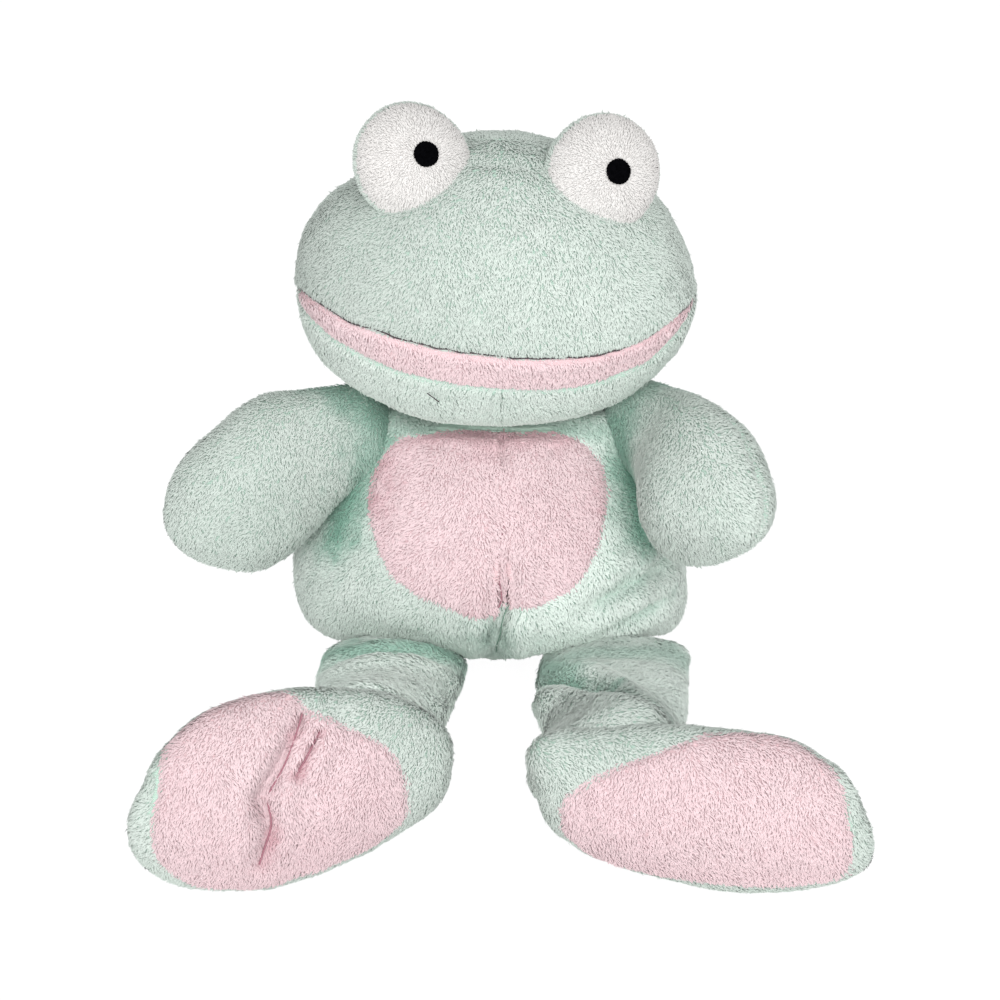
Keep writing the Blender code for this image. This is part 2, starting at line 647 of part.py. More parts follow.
def build():
    clear_scene()
    mint = material("mint_plush", MINT, 0.95)
    pink = material("pink_plush", PINK, 0.95)
    white = material("white_plush", WHITE, 0.95)
    black = material("black_thread", BLACK, 0.6)
    filling = material("filling_fibre", FILLING, 1.0)
    far = CUT_OVERRUN

    # Torso: a back that runs under the seat, two front panels and a two-piece belly patch
    torso = torso_form()
    base = holder_at("torso_holder", Vector())
    half = TORSO_SIDES // 2
    front = half + TORSO_SIDES // 4
    seat_rows = range(0, 2)
    body_rows = range(2, torso.rings + 1)
    patch_rows = range(PATCH_FIRST_ROW, PATCH_END_ROW)
    back_cells = columns(torso, seat_rows, 0, TORSO_SIDES) + columns(torso, body_rows, 0, half)
    patch_left = columns(torso, patch_rows, front - PATCH_HALF_COLUMNS, front)
    patch_right = columns(torso, patch_rows, front, front + PATCH_HALF_COLUMNS)
    left_cells = [c for c in columns(torso, body_rows, half, front) if c not in patch_left]
    right_cells = [c for c in columns(torso, body_rows, front, TORSO_SIDES) if c not in patch_right]
    torso_parts = [
        panel("torso_back_and_seat", torso, back_cells, mint, base),
        panel("torso_front_left", torso, left_cells, mint, base),
        panel("torso_front_right", torso, right_cells, mint, base),
        panel("belly_patch_left", torso, patch_left, pink, base),
        panel("belly_patch_right", torso, patch_right, pink, base),
        solid("torso_filling", torso, CLOTH + FIT_GAP, filling, base),
    ]

    # Head: face, back of the head, mouth band and a two-piece chin
    head = head_form()
    neck = holder_at("head_holder", Vector((0.0, NECK_Y, TORSO_HEIGHT)))
    head_rows = range(0, head.rings + 1)
    middle_row = HEAD_ROWS // 2
    back_start = 1 + FACE_COLUMNS
    chin_start = back_start + BACK_COLUMNS
    left_rows = range(0, middle_row)
    right_rows = range(middle_row, head.rings + 1)
    chin_left = panel("chin_left", head, columns(head, left_rows, chin_start, head.sides), mint, neck)
    chin_right = panel("chin_right", head, columns(head, right_rows, chin_start, head.sides), mint, neck)
    head_back = panel("head_back", head, columns(head, head_rows, back_start, chin_start), mint, neck)
    panel("face_upper", head, columns(head, head_rows, 1, back_start), mint, neck)
    panel("mouth_band", head, columns(head, head_rows, 0, 1), pink, neck)
    head_filling = solid("head_filling", head, CLOTH + FIT_GAP, filling, neck)

    # Eyes: a white front, a mint back and a filling, cut to the head they stand on
    head_clear = as_cutter(solid("head_clear", head, -FIT_GAP, None, None))
    for side, word, offset in ((-1, "left", PUPIL_LEFT_OFFSET), (1, "right", PUPIL_RIGHT_OFFSET)):
        eye = eye_form(side)
        white_rows = range(0, EYE_WHITE_ROWS)
        back_rows = range(EYE_WHITE_ROWS, eye.rings + 1)
        eye_parts = [
            panel("eye_white_" + word, eye, columns(eye, white_rows, 0, EYE_SIDES), white, neck),
            panel("eye_back_" + word, eye, columns(eye, back_rows, 0, EYE_SIDES), mint, neck),
            solid("eye_filling_" + word, eye, CLOTH + FIT_GAP, filling, neck),
        ]
        cut(eye_parts, head_clear)
        pupil("pupil_" + word, side, offset, black, neck)

    # The neck seam is a flat face, so that the head turns on the torso
    wide = TORSO_HALF_LEFT + far
    floor_cut = cutter_box("floor_cut", Vector((-wide, -TORSO_FRONT - far, -far)),
                           Vector((wide, TORSO_BACK + far, 0.0)))
    top_cut = cutter_box("neck_top_cut", Vector((-wide, -TORSO_FRONT - far, TORSO_HEIGHT)),
                         Vector((wide, TORSO_BACK + far, TORSO_HEIGHT + far)))
    neck_cut = cutter_box("neck_low_cut", Vector((-wide, -TORSO_FRONT - far, TORSO_HEIGHT - far)),
                          Vector((wide, TORSO_BACK + far, TORSO_HEIGHT + FIT_GAP)))
    cut(torso_parts, top_cut)
    cut(torso_parts[:3], floor_cut)
    cut([chin_left, chin_right, head_back, head_filling], neck_cut)

    # Limbs: each has a round end in a socket of the piece that carries it
    foot_wide = wide + FOOT_RIGHT_HALF_LENGTH
    toe_y = leg_ends(1)[1].y - FOOT_RIGHT_HALF_LENGTH
    floor_feet = cutter_box("floor_feet_cut", Vector((-foot_wide, toe_y - far, -far)),
                            Vector((foot_wide, -TORSO_FRONT, 0.0)))
    for side, word in ((-1, "left"), (1, "right")):
        shoulder, seam, along, across, square = shoulder_frame(side)
        basis = Matrix((square, across, seam)).transposed()
        socket = cutter_rod("shoulder_socket_" + word, shoulder, basis, SHOULDER_RADIUS + FIT_GAP,
                            SHOULDER_HALF_WIDTH + FIT_GAP)
        cut([torso_parts[0], torso_parts[1 if side < 0 else 2], torso_parts[3 if side < 0 else 4],
             torso_parts[5]], socket)
        # What the torso covers at the ends of the swing and at rest, seen from the arm
        torso_clears = []
        swings = (-ARM_SWING_BACK, 0.0, ARM_SWING_FORWARD)
        for place_in, swing in enumerate(swings):
            spare = FIT_GAP * (place_in + 1) / (len(swings) + 1)
            room = cutter_rod("shoulder_room_%s_%d" % (word, place_in), shoulder, basis,
                              SHOULDER_RADIUS + spare, SHOULDER_HALF_WIDTH + spare)
            depth = -FIT_GAP - (ARM_SWING_SPARE if swing else 0.0)
            clear = as_cutter(solid("torso_clear_%s_%d" % (word, place_in), torso, depth, None, None))
            turn = Matrix.Rotation(side * swing, 4, seam)
            clear.data.transform(Matrix.Translation(shoulder) @ turn @ Matrix.Translation(-shoulder))
            cut([clear], room)
            torso_clears.append(clear)

        arm = arm_form(side)
        joint = holder_at("arm_holder_" + word, shoulder)
        rows = range(0, arm.rings + 1)
        half = ARM_SIDES // 2
        arm_parts = [
            panel("arm_front_" + word, arm, columns(arm, rows, 0, half), mint, joint),
            panel("arm_back_" + word, arm, columns(arm, rows, half, ARM_SIDES), mint, joint),
            solid("arm_filling_" + word, arm, CLOTH + FIT_GAP, filling, joint),
        ]
        for clear in torso_clears:
            cut(arm_parts, clear)

        hip, ankle = leg_ends(side)
        radius = HIP_RADIUS + FIT_GAP
        leg_slope = math.atan2(ankle.z + ANKLE_RADIUS - hip.z - HIP_RADIUS, hip.y - ankle.y)
        slope = HIP_LIFT + HIP_SPARE + leg_slope
        outline = [(hip.y + radius, -far), (hip.y + radius, hip.z)]
        for step in range(1, CUTTER_STEPS + 1):
            angle = (math.pi / 2.0 - HIP_LIFT - HIP_SPARE) * step / CUTTER_STEPS
            outline.append((hip.y + radius * math.cos(angle), hip.z + radius * math.sin(angle)))
        outline.append((outline[-1][0] - TORSO_FRONT * math.cos(slope),
                        outline[-1][1] + TORSO_FRONT * math.sin(slope)))
        outline.append((outline[-1][0], -far))
        inner = hip.x - side * (LEG_MID_HALF_WIDTH + FIT_GAP)
        notch = cutter_prism("hip_notch_" + word, outline, inner, side * (TORSO_HALF_LEFT + far))
        cut([torso_parts[0], torso_parts[1 if side < 0 else 2], torso_parts[5]], notch)

        leg = leg_form(side)
        joint = holder_at("leg_holder_" + word, hip)
        rows = range(0, leg.rings + 1)
        half = LEG_SIDES // 2
        panel("leg_top_" + word, leg, columns(leg, rows, 0, half), mint, joint)
        panel("leg_under_" + word, leg, columns(leg, rows, half, LEG_SIDES), mint, joint)
        solid("leg_filling_" + word, leg, CLOTH + FIT_GAP, filling, joint)

        foot = foot_form(side)
        joint = holder_at("foot_holder_" + word, ankle)
        half = FOOT_SIDES // 2
        sole_cells = columns(foot, range(SOLE_FIRST_ROW, foot.rings + 1 - SOLE_FIRST_ROW),
                             half - SOLE_HALF_COLUMNS, half + SOLE_HALF_COLUMNS)
        upper_cells = [cell for cell in foot.cells() if cell not in sole_cells]
        foot_parts = [
            panel("foot_upper_" + word, foot, upper_cells, mint, joint),
            panel("foot_sole_" + word, foot, sole_cells, pink, joint),
            solid("foot_filling_" + word, foot, CLOTH + FIT_GAP, filling, joint),
        ]
        cut(foot_parts[:2], floor_feet)
        reach = ANKLE_RADIUS + FIT_GAP
        turns = [math.pi / 2.0 * step / CUTTER_STEPS for step in range(CUTTER_STEPS, -1, -1)]
        profile = [(ankle.y - reach * math.sin(turn), reach * math.cos(turn)) for turn in turns]
        cut(foot_parts, cutter_lathe("ankle_socket_" + word, ankle, profile + [(ankle.y + far, reach)]))


build()
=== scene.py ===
"""Looks of the seated plush frog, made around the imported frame. Metres, +Z up, the frog looks along -Y.

Each stuffed form is a smooth closed grid, sculpted with its seams, puckers and folds. Its cloth panels are
thin shells cut from that grid, and each panel carries its pile as real bent tufts.
"""
import math

import bpy
import numpy as np
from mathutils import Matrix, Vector


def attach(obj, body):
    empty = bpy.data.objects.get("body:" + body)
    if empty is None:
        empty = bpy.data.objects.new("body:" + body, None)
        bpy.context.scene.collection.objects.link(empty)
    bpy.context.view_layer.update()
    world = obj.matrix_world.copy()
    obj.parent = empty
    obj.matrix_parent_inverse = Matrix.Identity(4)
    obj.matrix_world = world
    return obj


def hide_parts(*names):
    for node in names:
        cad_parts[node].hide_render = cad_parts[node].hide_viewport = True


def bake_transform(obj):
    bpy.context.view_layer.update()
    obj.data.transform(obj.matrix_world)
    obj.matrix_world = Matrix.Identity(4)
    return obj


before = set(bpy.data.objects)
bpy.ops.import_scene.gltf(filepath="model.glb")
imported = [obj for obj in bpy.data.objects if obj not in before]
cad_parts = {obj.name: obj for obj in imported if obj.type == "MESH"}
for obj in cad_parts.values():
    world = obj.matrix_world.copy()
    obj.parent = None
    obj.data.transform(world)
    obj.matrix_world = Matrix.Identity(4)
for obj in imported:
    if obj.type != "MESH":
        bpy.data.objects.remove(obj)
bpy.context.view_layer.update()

MM = 0.001
RANDOM = np.random.default_rng(41)

# Cloth and pile
INSET = 2.0 * MM
CLOTH = 1.2 * MM
FLOOR_CLEAR = 0.5 * MM
TUFT_CLEAR = 0.15 * MM
TUFTS_PER_AREA = 2.5e6
ROOT_DEPTH = 0.4 * MM
MOST_TUFTS = 21000
TUFT_LIE = math.radians(76.0)
RUFFLE = 0.8
STRAY_SHARE = 0.012
PILE_FREE = 12.0 * MM
TUFT_QUADS = np.array(((0, 1, 4, 3), (1, 2, 5, 4), (2, 0, 3, 5)))
TUFT_TIPS = np.array(((3, 4, 6), (4, 5, 6), (5, 3, 6)))
TUFT_REACH = np.array((0, 0, 0, 0.55, 0.55, 0.6, 1.0), np.float32)
UV_STRIP = 0.0022
EDGE_UV = np.array(((0.984, 0.97), (0.99, 0.97), (0.99, 0.975), (0.984, 0.975)))
CORNERS = ((0, 0), (0, 1), (1, 1), (1, 0))

# Pieces sewn in: how far the skin under them sinks, how far they stand out, and how their rim drops
UNDER_PIECE = 1.8 * MM
PIECE_LIFT = 0.5 * MM
RIM_DROP = 0.9 * MM
RIM_START, RIM_WIDTH = 0.93, 0.07

# Torso
TORSO_HEIGHT = 98.0 * MM
TORSO_HALF_LEFT = 80.0 * MM
TORSO_HALF_RIGHT = 73.0 * MM
TORSO_FRONT = 60.0 * MM
TORSO_BACK = 55.0 * MM
FLAT_DEPTH = 0.5 * MM
SEAT_ROWS = 4
BELLY_SEAM_X = 0.5 * MM
TORSO_PROFILE = np.array((
    # height, half width, front, back
    (0.000, 0.40, -0.18, 0.44),
    (0.018, 0.84, -0.36, 0.77),
    (0.075, 0.935, -0.56, 0.89),
    (0.190, 0.985, -0.86, 0.96),
    (0.330, 1.000, -1.00, 1.00),
    (0.445, 0.985, -0.97, 1.00),
    (0.545, 0.925, -0.88, 0.97),
    (0.650, 0.860, -0.76, 0.93),
    (0.755, 0.775, -0.62, 0.85),
    (0.855, 0.680, -0.46, 0.74),
    (0.935, 0.570, -0.32, 0.62),
    (0.985, 0.430, -0.20, 0.47),
    (1.002, 0.250, -0.08, 0.32),
))
PATCH_OUTLINE = np.array((
    (0.5, 97.0), (-21.0, 96.5), (-40.0, 91.0), (-49.5, 82.0), (-53.0, 71.0), (-50.0, 59.5), (-42.4, 49.5),
    (-26.0, 43.5), (-15.5, 40.5), (-5.0, 39.5), (0.5, 42.5), (8.0, 43.0), (18.0, 44.8), (30.5, 50.5),
    (38.5, 62.0), (41.5, 74.0), (39.0, 84.0), (31.0, 92.0), (20.0, 96.0))) * MM
PATCH_CENTRE = np.array((-5.0, 68.0)) * MM

# Head
HEAD_CENTRE = np.array((-1.5, 5.0, 149.0)) * MM
HEAD_HALF_WIDTH = 77.5 * MM
HEAD_HALF_DEPTH = 54.0 * MM
HEAD_UPPER_HEIGHT = 62.0 * MM
HEAD_LOWER_HEIGHT = 55.0 * MM
HEAD_FULLNESS = 0.9
HEAD_TAPER = 0.2
CROWN_SEAM = math.radians(90.0)
NAPE_SEAM = math.radians(250.0)
MOUTH_TOP = np.array((
    # place along the width, angle in degrees
    (-1.0, 17.0), (-0.92, 11.5), (-0.78, 4.5), (-0.57, 0.7), (-0.29, -3.0), (-0.08, -5.0), (0.29, -7.7),
    (0.565, -8.1), (0.768, -5.1), (0.91, 2.0), (1.0, 8.0)))
MOUTH_LOW = np.array((
    (-1.0, 1.0), (-0.97, -5.0), (-0.885, -10.0), (-0.715, -14.1), (-0.51, -17.7), (-0.243, -19.8),
    (0.093, -22.5), (0.366, -24.6), (0.57, -24.2), (0.777, -21.5), (0.90, -14.5), (0.942, -9.0), (1.0, -2.0)))
NECK_Z = 98.35 * MM
HEAD_COLUMNS = (0, 6, 50, 116, 156)
STRAY_X = -28.0 * MM

# Eyes
EYE_RADIUS = 22.5 * MM
EYE_HALF_DEPTH = 15.0 * MM
EYE_CENTRES = {-1: np.array((-33.0, -8.0, 204.0)) * MM, 1: np.array((36.5, -8.0, 199.5)) * MM}
EYE_PITCH = math.radians(25.0)
EYE_YAW = math.radians(13.0)
EYE_SEAM = math.radians(74.0)
WHITE_ROWS = 22
PUPIL_RADIUS = 4.75 * MM
PUPIL_OFFSETS = {-1: (2.4 * MM, 3.0 * MM), 1: (3.0 * MM, 0.8 * MM)}

# Arms
SHOULDERS = {-1: np.array((-54.0, 1.0, 87.0)) * MM, 1: np.array((54.0, 1.0, 87.0)) * MM}
SHOULDER_RADIUS = 13.0 * MM
SHOULDER_HALF_WIDTH = 18.0 * MM
SHOULDER_LEAN = math.radians(28.0)
ARM_LENGTH = 80.0 * MM
ARM_HALF_WIDTH = 32.0 * MM
ARM_HALF_THICKNESS = 20.0 * MM
ARM_WIDEST = 0.55 * ARM_LENGTH
ARM_YAW = {-1: math.radians(22.0), 1: math.radians(60.0)}
ARM_DROOP = {-1: math.radians(12.0), 1: math.radians(-1.0)}

# Legs
HIPS = {-1: np.array((-42.0, -48.0, 13.0)) * MM, 1: np.array((42.0, -48.0, 13.0)) * MM}
HIP_RADIUS = 12.5 * MM
HIP_HALF_WIDTH = 29.0 * MM
ANKLES = {-1: np.array((-48.0, -139.0, 29.0)) * MM, 1: np.array((43.0, -148.0, 29.0)) * MM}
ANKLE_RADIUS = 22.0 * MM
LEG_MID_HALF_WIDTH = 30.0 * MM

# Feet
FOOT_HALF_LENGTH = {-1: 60.0 * MM, 1: 63.0 * MM}
FOOT_HALF_HEIGHT = {-1: 37.0 * MM, 1: 31.0 * MM}
FOOT_HALF_THICKNESS = 20.0 * MM
FOOT_PLACE = {-1: (-75.0 * MM, -168.0 * MM), 1: (68.0 * MM, -172.0 * MM)}
FOOT_YAW = {-1: math.radians(22.0), 1: math.radians(13.0)}
FOOT_TILT = math.radians(8.0)
FOOT_TOE = 0.10
FOOT_FULLNESS = 0.85
SOLE_FLAT = 0.85
SOLE_RIM = math.asin(0.97)
SOLE_WRAP = 3.2
SOLE_OUTLINES = {
    # place along the foot towards the toe, height, each a share of the half size
    -1: np.array(((0.86, 0.258), (0.80, 0.66), (0.70, 0.90), (0.58, 1.00), (0.36, 1.10), (0.14, 1.136),
                  (-0.03, 1.07), (-0.15, 0.88), (-0.32, 0.69), (-0.53, 0.447), (-0.63, 0.22), (-0.68, -0.064),
                  (-0.65, -0.442), (-0.50, -0.678), (-0.21, -0.811), (0.08, -0.886), (0.32, -0.934),
                  (0.62, -0.811), (0.83, -0.499), (0.875, -0.13))),
    1: np.array(((-0.76, -0.30), (-0.73, 0.04), (-0.51, 0.49), (-0.25, 0.78), (0.08, 1.05), (0.38, 1.09),
                 (0.58, 0.98), (0.76, 0.79), (0.85, 0.48), (0.89, 0.09), (0.885, -0.35), (0.80, -0.62),
                 (0.50, -0.76), (0.10, -0.80), (-0.21, -0.84), (-0.52, -0.80), (-0.70, -0.56))),
}

# Surroundings
CAMERA_AIM = np.array((-1.0, -40.0, 80.8)) * MM
CAMERA_DISTANCE = 1.1
CAMERA_ELEVATION = math.radians(28.0)
CAMERA_WIDTH = 0.38
LAMP_AIM = (0.0, -0.06, 0.08)
LAMP_SIZE = 1.0
WORLD_LIGHT = 0.66
FLOOR_REACH = 4.0
FLOOR_CLEARNESS = 0.9
WHITE = (1.0, 1.0, 1.0)


# ---------------------------------------------------------------- numbers

def lattice(cells, seed):
    """A number from 0 to 1 for each whole-number cell."""
    mixed = cells[..., 0] * 73856093 ^ cells[..., 1] * 19349663 ^ cells[..., 2] * 83492791
    mixed = (mixed + seed * 2654435761) & 0xFFFFFFFF
    mixed = ((mixed ^ (mixed >> 15)) * 2246822519) & 0xFFFFFFFF
    mixed = ((mixed ^ (mixed >> 13)) * 3266489917) & 0xFFFFFFFF
    return ((mixed ^ (mixed >> 16)) & 0xFFFF) / 65535.0


def noise(points, size, seed):
    """Smooth noise from -1 to 1, its lumps about the given size."""
    scaled = points / size
    cell = np.floor(scaled).astype(np.int64)
    part = scaled - cell
    part = part * part * (3.0 - 2.0 * part)
    total = np.zeros(points.shape[:-1])
    for corner in range(8):
        step = np.array((corner & 1, corner >> 1 & 1, corner >> 2 & 1))
        weight = np.prod(np.where(step == 1, part, 1.0 - part), axis=-1)
        total += weight * lattice(cell + step, seed)
    return total * 2.0 - 1.0


def smooth(share):
    share = np.clip(share, 0.0, 1.0)
    return share * share * (3.0 - 2.0 * share)


def unit(vectors):
    return vectors / np.maximum(np.linalg.norm(vectors, axis=-1, keepdims=True), 1e-12)


def circle(count):
    """Evenly spaced angles all the way round."""
    return 2.0 * math.pi * np.arange(count) / count


def half_circle(rows):
    """Evenly spaced angles between two poles, without the poles."""
    return math.pi * np.arange(1, rows - 1) / (rows - 1)


def rounded(part):
    """Height of a unit circle at a part of its radius."""
    return np.sqrt(np.clip(1.0 - part ** 2, 0.0, 1.0))


def curve(at, table, column=1):
    """A smooth line through the rows of a table, whose first column is the place."""
    xs, ys = table[:, 0], table[:, column]
    slopes = np.gradient(ys, xs)
    steps = np.diff(ys) / np.diff(xs)
    limit = 3.0 * np.minimum(np.abs(steps[:-1]), np.abs(steps[1:]))
    turning = steps[:-1] * steps[1:] <= 0.0
    slopes[1:-1] = np.where(turning, slopes[1:-1], np.clip(slopes[1:-1], -limit, limit))
    span = np.clip(np.searchsorted(xs, at, side="right") - 1, 0, len(xs) - 2)
    width = xs[span + 1] - xs[span]
    part = np.clip((at - xs[span]) / width, 0.0, 1.0)
    square, cube = part * part, part * part * part
    return ((2 * cube - 3 * square + 1) * ys[span] + (cube - 2 * square + part) * width * slopes[span]
            + (3 * square - 2 * cube) * ys[span + 1] + (cube - square) * width * slopes[span + 1])


def closed_curve(points, count):
    """A smooth closed line through points, at evenly spaced steps."""
    around = np.vstack([points[-1:], points, points[:2]])
    spans = len(points)
    at = np.arange(count) * spans / count
    span = at.astype(int)
    t = (at - span)[:, None]
    a, b, c, d = (around[span + k] for k in range(4))
    square, cube = 2 * a - 5 * b + 4 * c - d, 3 * b - 3 * c + d - a
    return 0.5 * (2 * b + (c - a) * t + square * t * t + cube * t ** 3)


def inside(points, outline):
    """Whether each 2-D point lies inside a closed outline."""
    x, y = points[:, 0], points[:, 1]
    found = np.zeros(len(points), bool)
    for (x0, y0), (x1, y1) in zip(outline, np.roll(outline, -1, axis=0)):
        if y0 == y1:
            continue
        crosses = (y0 > y) != (y1 > y)
        found ^= crosses & (x < (x1 - x0) * (y - y0) / (y1 - y0) + x0)
    return found


def line_distance(points, line, values=None):
    """Distance of each point to a line of points, and the line's value there."""
    values = np.zeros(len(line)) if values is None else values
    best = np.full(points.shape[:-1], 1e9)
    found = np.zeros(points.shape[:-1])
    for start, end, v0, v1 in zip(line, line[1:], values, values[1:]):
        along = end - start
        part = np.clip(((points - start) @ along) / (along @ along), 0.0, 1.0)
        away = np.linalg.norm(points - start - part[..., None] * along, axis=-1)
        nearer = away < best
        best = np.where(nearer, away, best)
        found = np.where(nearer, v0 + (v1 - v0) * part, found)
    return best, found


# ---------------------------------------------------------------- grids

class Grid:
    """Rows of points that close on themselves. The first and last row may each be one point."""

    def __init__(self, points, last_pole=True, outward=None):
        self.points = points
        self.last_pole = last_pole
        self.rows, self.columns = points.shape[:2]
        self.outward = outward
        self.seams = []
        self.painted_shades = []
        self.renew()

    def renew(self):
        """Finds the normals again after the points have moved."""
        p = self.points
        across = np.roll(p, -1, axis=1) - np.roll(p, 1, axis=1)
        along = np.empty_like(p)
        along[1:-1] = p[2:] - p[:-2]
        along[0] = p[1] - p[0]
        along[-1] = p[-1] - p[-2]
        found = np.cross(along, across)
        found[0] = found[1].sum(axis=0)
        if self.last_pole:
            found[-1] = found[-2].sum(axis=0)
        found = unit(found)
        outward = p - p.reshape(-1, 3).mean(axis=0) if self.outward is None else self.outward
        self.flip = bool(np.sum(found * outward) < 0.0)
        self.normals = -found if self.flip else found

    def shift(self, change):
        self.points = self.points + change
        self.renew()
        return self

    def inset(self, depth):
        return self.shift(self.normals * -depth)

    def lumps(self, amount, size, seed):
        """Uneven stuffing. All in millimetres."""
        return self.shift(self.normals * (noise(self.points, size * MM, seed) * (amount * MM))[..., None])

    def push(self, *rows):
        """Moves the skin near each centre, fading out over a radius. All in millimetres."""
        for centre, move, radius in rows:
            away = np.linalg.norm(self.points - np.array(centre) * MM, axis=-1) / (radius * MM)
            self.shift(np.exp(-away * away)[..., None] * np.array(move) * MM)
        return self

    def crease(self, *rows):
        """Folds pulled in along lines, with a soft ridge on each side. Each row gives the line, its depths,
        the width and, where it isn't the usual one, the ridge's share. All in millimetres."""
        for line, depths, width, *ridge in rows:
            away, depth = line_distance(self.points, np.array(line) * MM, np.array(depths) * MM)
            away = away / (width * MM)
            shape = np.exp(-away * away) - (ridge[0] if ridge else 0.35) * np.exp(-(away - 1.9) ** 2)
            self.shift(-self.normals * (depth * shape)[..., None])
        return self

    def seam(self, line, depth, width, waver=0.0):
        """A sewn seam: a narrow groove where the pile is caught and short. All in millimetres."""
        line = np.array(line, float)
        line = line + waver * np.stack([noise(line, 7.0, seed) for seed in (71, 72, 73)], axis=1)
        self.crease((line, np.full(len(line), float(depth)), width, 0.2))
        self.seams.append((line * MM, width * MM))
        return self

    def paint_shade(self, *rows):
        """Marks where painted shade goes on the pile: a darker, fuller colour along deep folds and between
        parts, where shade falls. Each row gives the line, the strength and the radius, in millimetres."""
        self.painted_shades += [(np.array(line, float) * MM, strength, reach * MM) for line, strength, reach in rows]
        return self

    def sink(self, under):
        """Lowers the skin where a sewn-in piece covers it. The pile beside it keeps its lie."""
        self.points = self.points - self.normals * (UNDER_PIECE * under)[..., None]

    def lower_rim(self):
        """Sinks the outer rows of a sewn-in piece to the skin around it."""
        share = np.linspace(0.0, 1.0, self.rows)[:, None, None]
        return self.inset(RIM_DROP * smooth((share - RIM_START) / RIM_WIDTH))

    def clamp(self, low, high=None):
        """Keeps the skin between two heights."""
        self.points[..., 2] = np.clip(self.points[..., 2], low, high)
        self.renew()
        return self

    def cells(self, columns=(None, None), rows=(None, None)):
        """Which cells lie between two columns and between two rows."""
        chosen = np.zeros((self.rows - 1, self.columns), bool)
        chosen[slice(*rows), slice(*columns)] = True
        return chosen


def capped(first, body, last):
    """A grid whose rows close in one point at each end."""
    first, last = (np.broadcast_to(end, (1, body.shape[1], 3)) for end in (first, last))
    return Grid(np.concatenate([first, body, last]))


def flat(arrays, width):
    """Arrays of rows of one width as one line of short numbers."""
    return np.concatenate([array.reshape(-1, width) for array in arrays]).astype(np.float32).ravel()


def new_mesh(name, points, faces, uvs, normals=None):
    data = bpy.data.meshes.new(name)
    data.vertices.add(len(points))
    data.vertices.foreach_set("co", flat([points], 3))
    corners = np.concatenate([face.ravel() for face in faces])
    counts = np.concatenate([np.full(len(face), face.shape[1]) for face in faces])
    data.loops.add(len(corners))
    data.loops.foreach_set("vertex_index", corners.astype(np.int32))
    data.polygons.add(len(counts))
    data.polygons.foreach_set("loop_start", np.concatenate([[0], np.cumsum(counts)[:-1]]).astype(np.int32))
    data.update(calc_edges=True)
    layer = data.uv_layers.new(name="OFBake")
    layer.data.foreach_set("uv", flat(uvs, 2))
    data.shade_smooth()
    if normals is not None:
        facing = data.attributes.new("custom_normal", "FLOAT_VECTOR", "CORNER")
        facing.data.foreach_set("vector", flat(normals, 3))
    return data


def link(name, data, surface):
    item = bpy.data.objects.new(name, data)
    bpy.context.scene.collection.objects.link(item)
    data.materials.append(surface)
    return item


def shell(name, grid, chosen, surface, thickness=CLOTH):
    """The chosen cells of a grid as a closed shell."""
    row, column = np.argwhere(chosen).T

    def number(r, c):
        c = np.where((r == 0) | ((r == grid.rows - 1) & grid.last_pole), 0, c % grid.columns)
        return r * grid.columns + c

    corners = np.stack([number(row + r, column + c) for r, c in CORNERS], axis=1)
    places = np.stack([np.stack([row + r, column + c], 1) for r, c in CORNERS], axis=1).astype(float)
    if not grid.flip:
        corners = corners[:, ::-1]
        places = places[:, ::-1]
    low = places.reshape(-1, 2).min(axis=0)
    high = places.reshape(-1, 2).max(axis=0)
    uv = (places - low) / (high - low) * 0.96 + 0.01
    starts = corners.ravel()
    ends = np.roll(corners, -1, axis=1).ravel()
    real = starts != ends
    starts, ends = starts[real], ends[real]
    span = grid.rows * grid.columns
    border = ~np.isin(starts * span + ends, ends * span + starts)
    used, number_of = np.unique(corners, return_inverse=True)
    number_of = number_of.reshape(corners.shape)
    table = np.full(span, -1)
    table[used] = np.arange(len(used))
    outer = grid.points.reshape(-1, 3)[used]
    inner = outer - grid.normals.reshape(-1, 3)[used] * thickness
    inner[:, 2] = np.maximum(inner[:, 2], FLOOR_CLEAR + TUFT_CLEAR)
    count = len(used)
    same = corners == np.roll(corners, -1, axis=1)
    whole = ~same.any(axis=1)
    faces = [number_of[whole], number_of[whole][:, ::-1] + count]
    uvs = [uv[whole], (0.985 + uv * 0.01)[whole][:, ::-1]]
    if (~whole).any():
        keep = ~same[~whole]
        pointed = number_of[~whole][keep].reshape(-1, 3)
        pointed_uv = uv[~whole][keep].reshape(-1, 3, 2)
        faces += [pointed, pointed[:, ::-1] + count]
        uvs += [pointed_uv, 0.985 + pointed_uv[:, ::-1] * 0.01]
    edge_start, edge_end = table[starts[border]], table[ends[border]]
    if len(edge_start):
        faces.append(np.stack([edge_end, edge_start, edge_start + count, edge_end + count], axis=1))
        uvs.append(np.tile(EDGE_UV, (len(edge_start), 1, 1)))
    return link(name, new_mesh(name, np.vstack([outer, inner]), faces, uvs), surface)
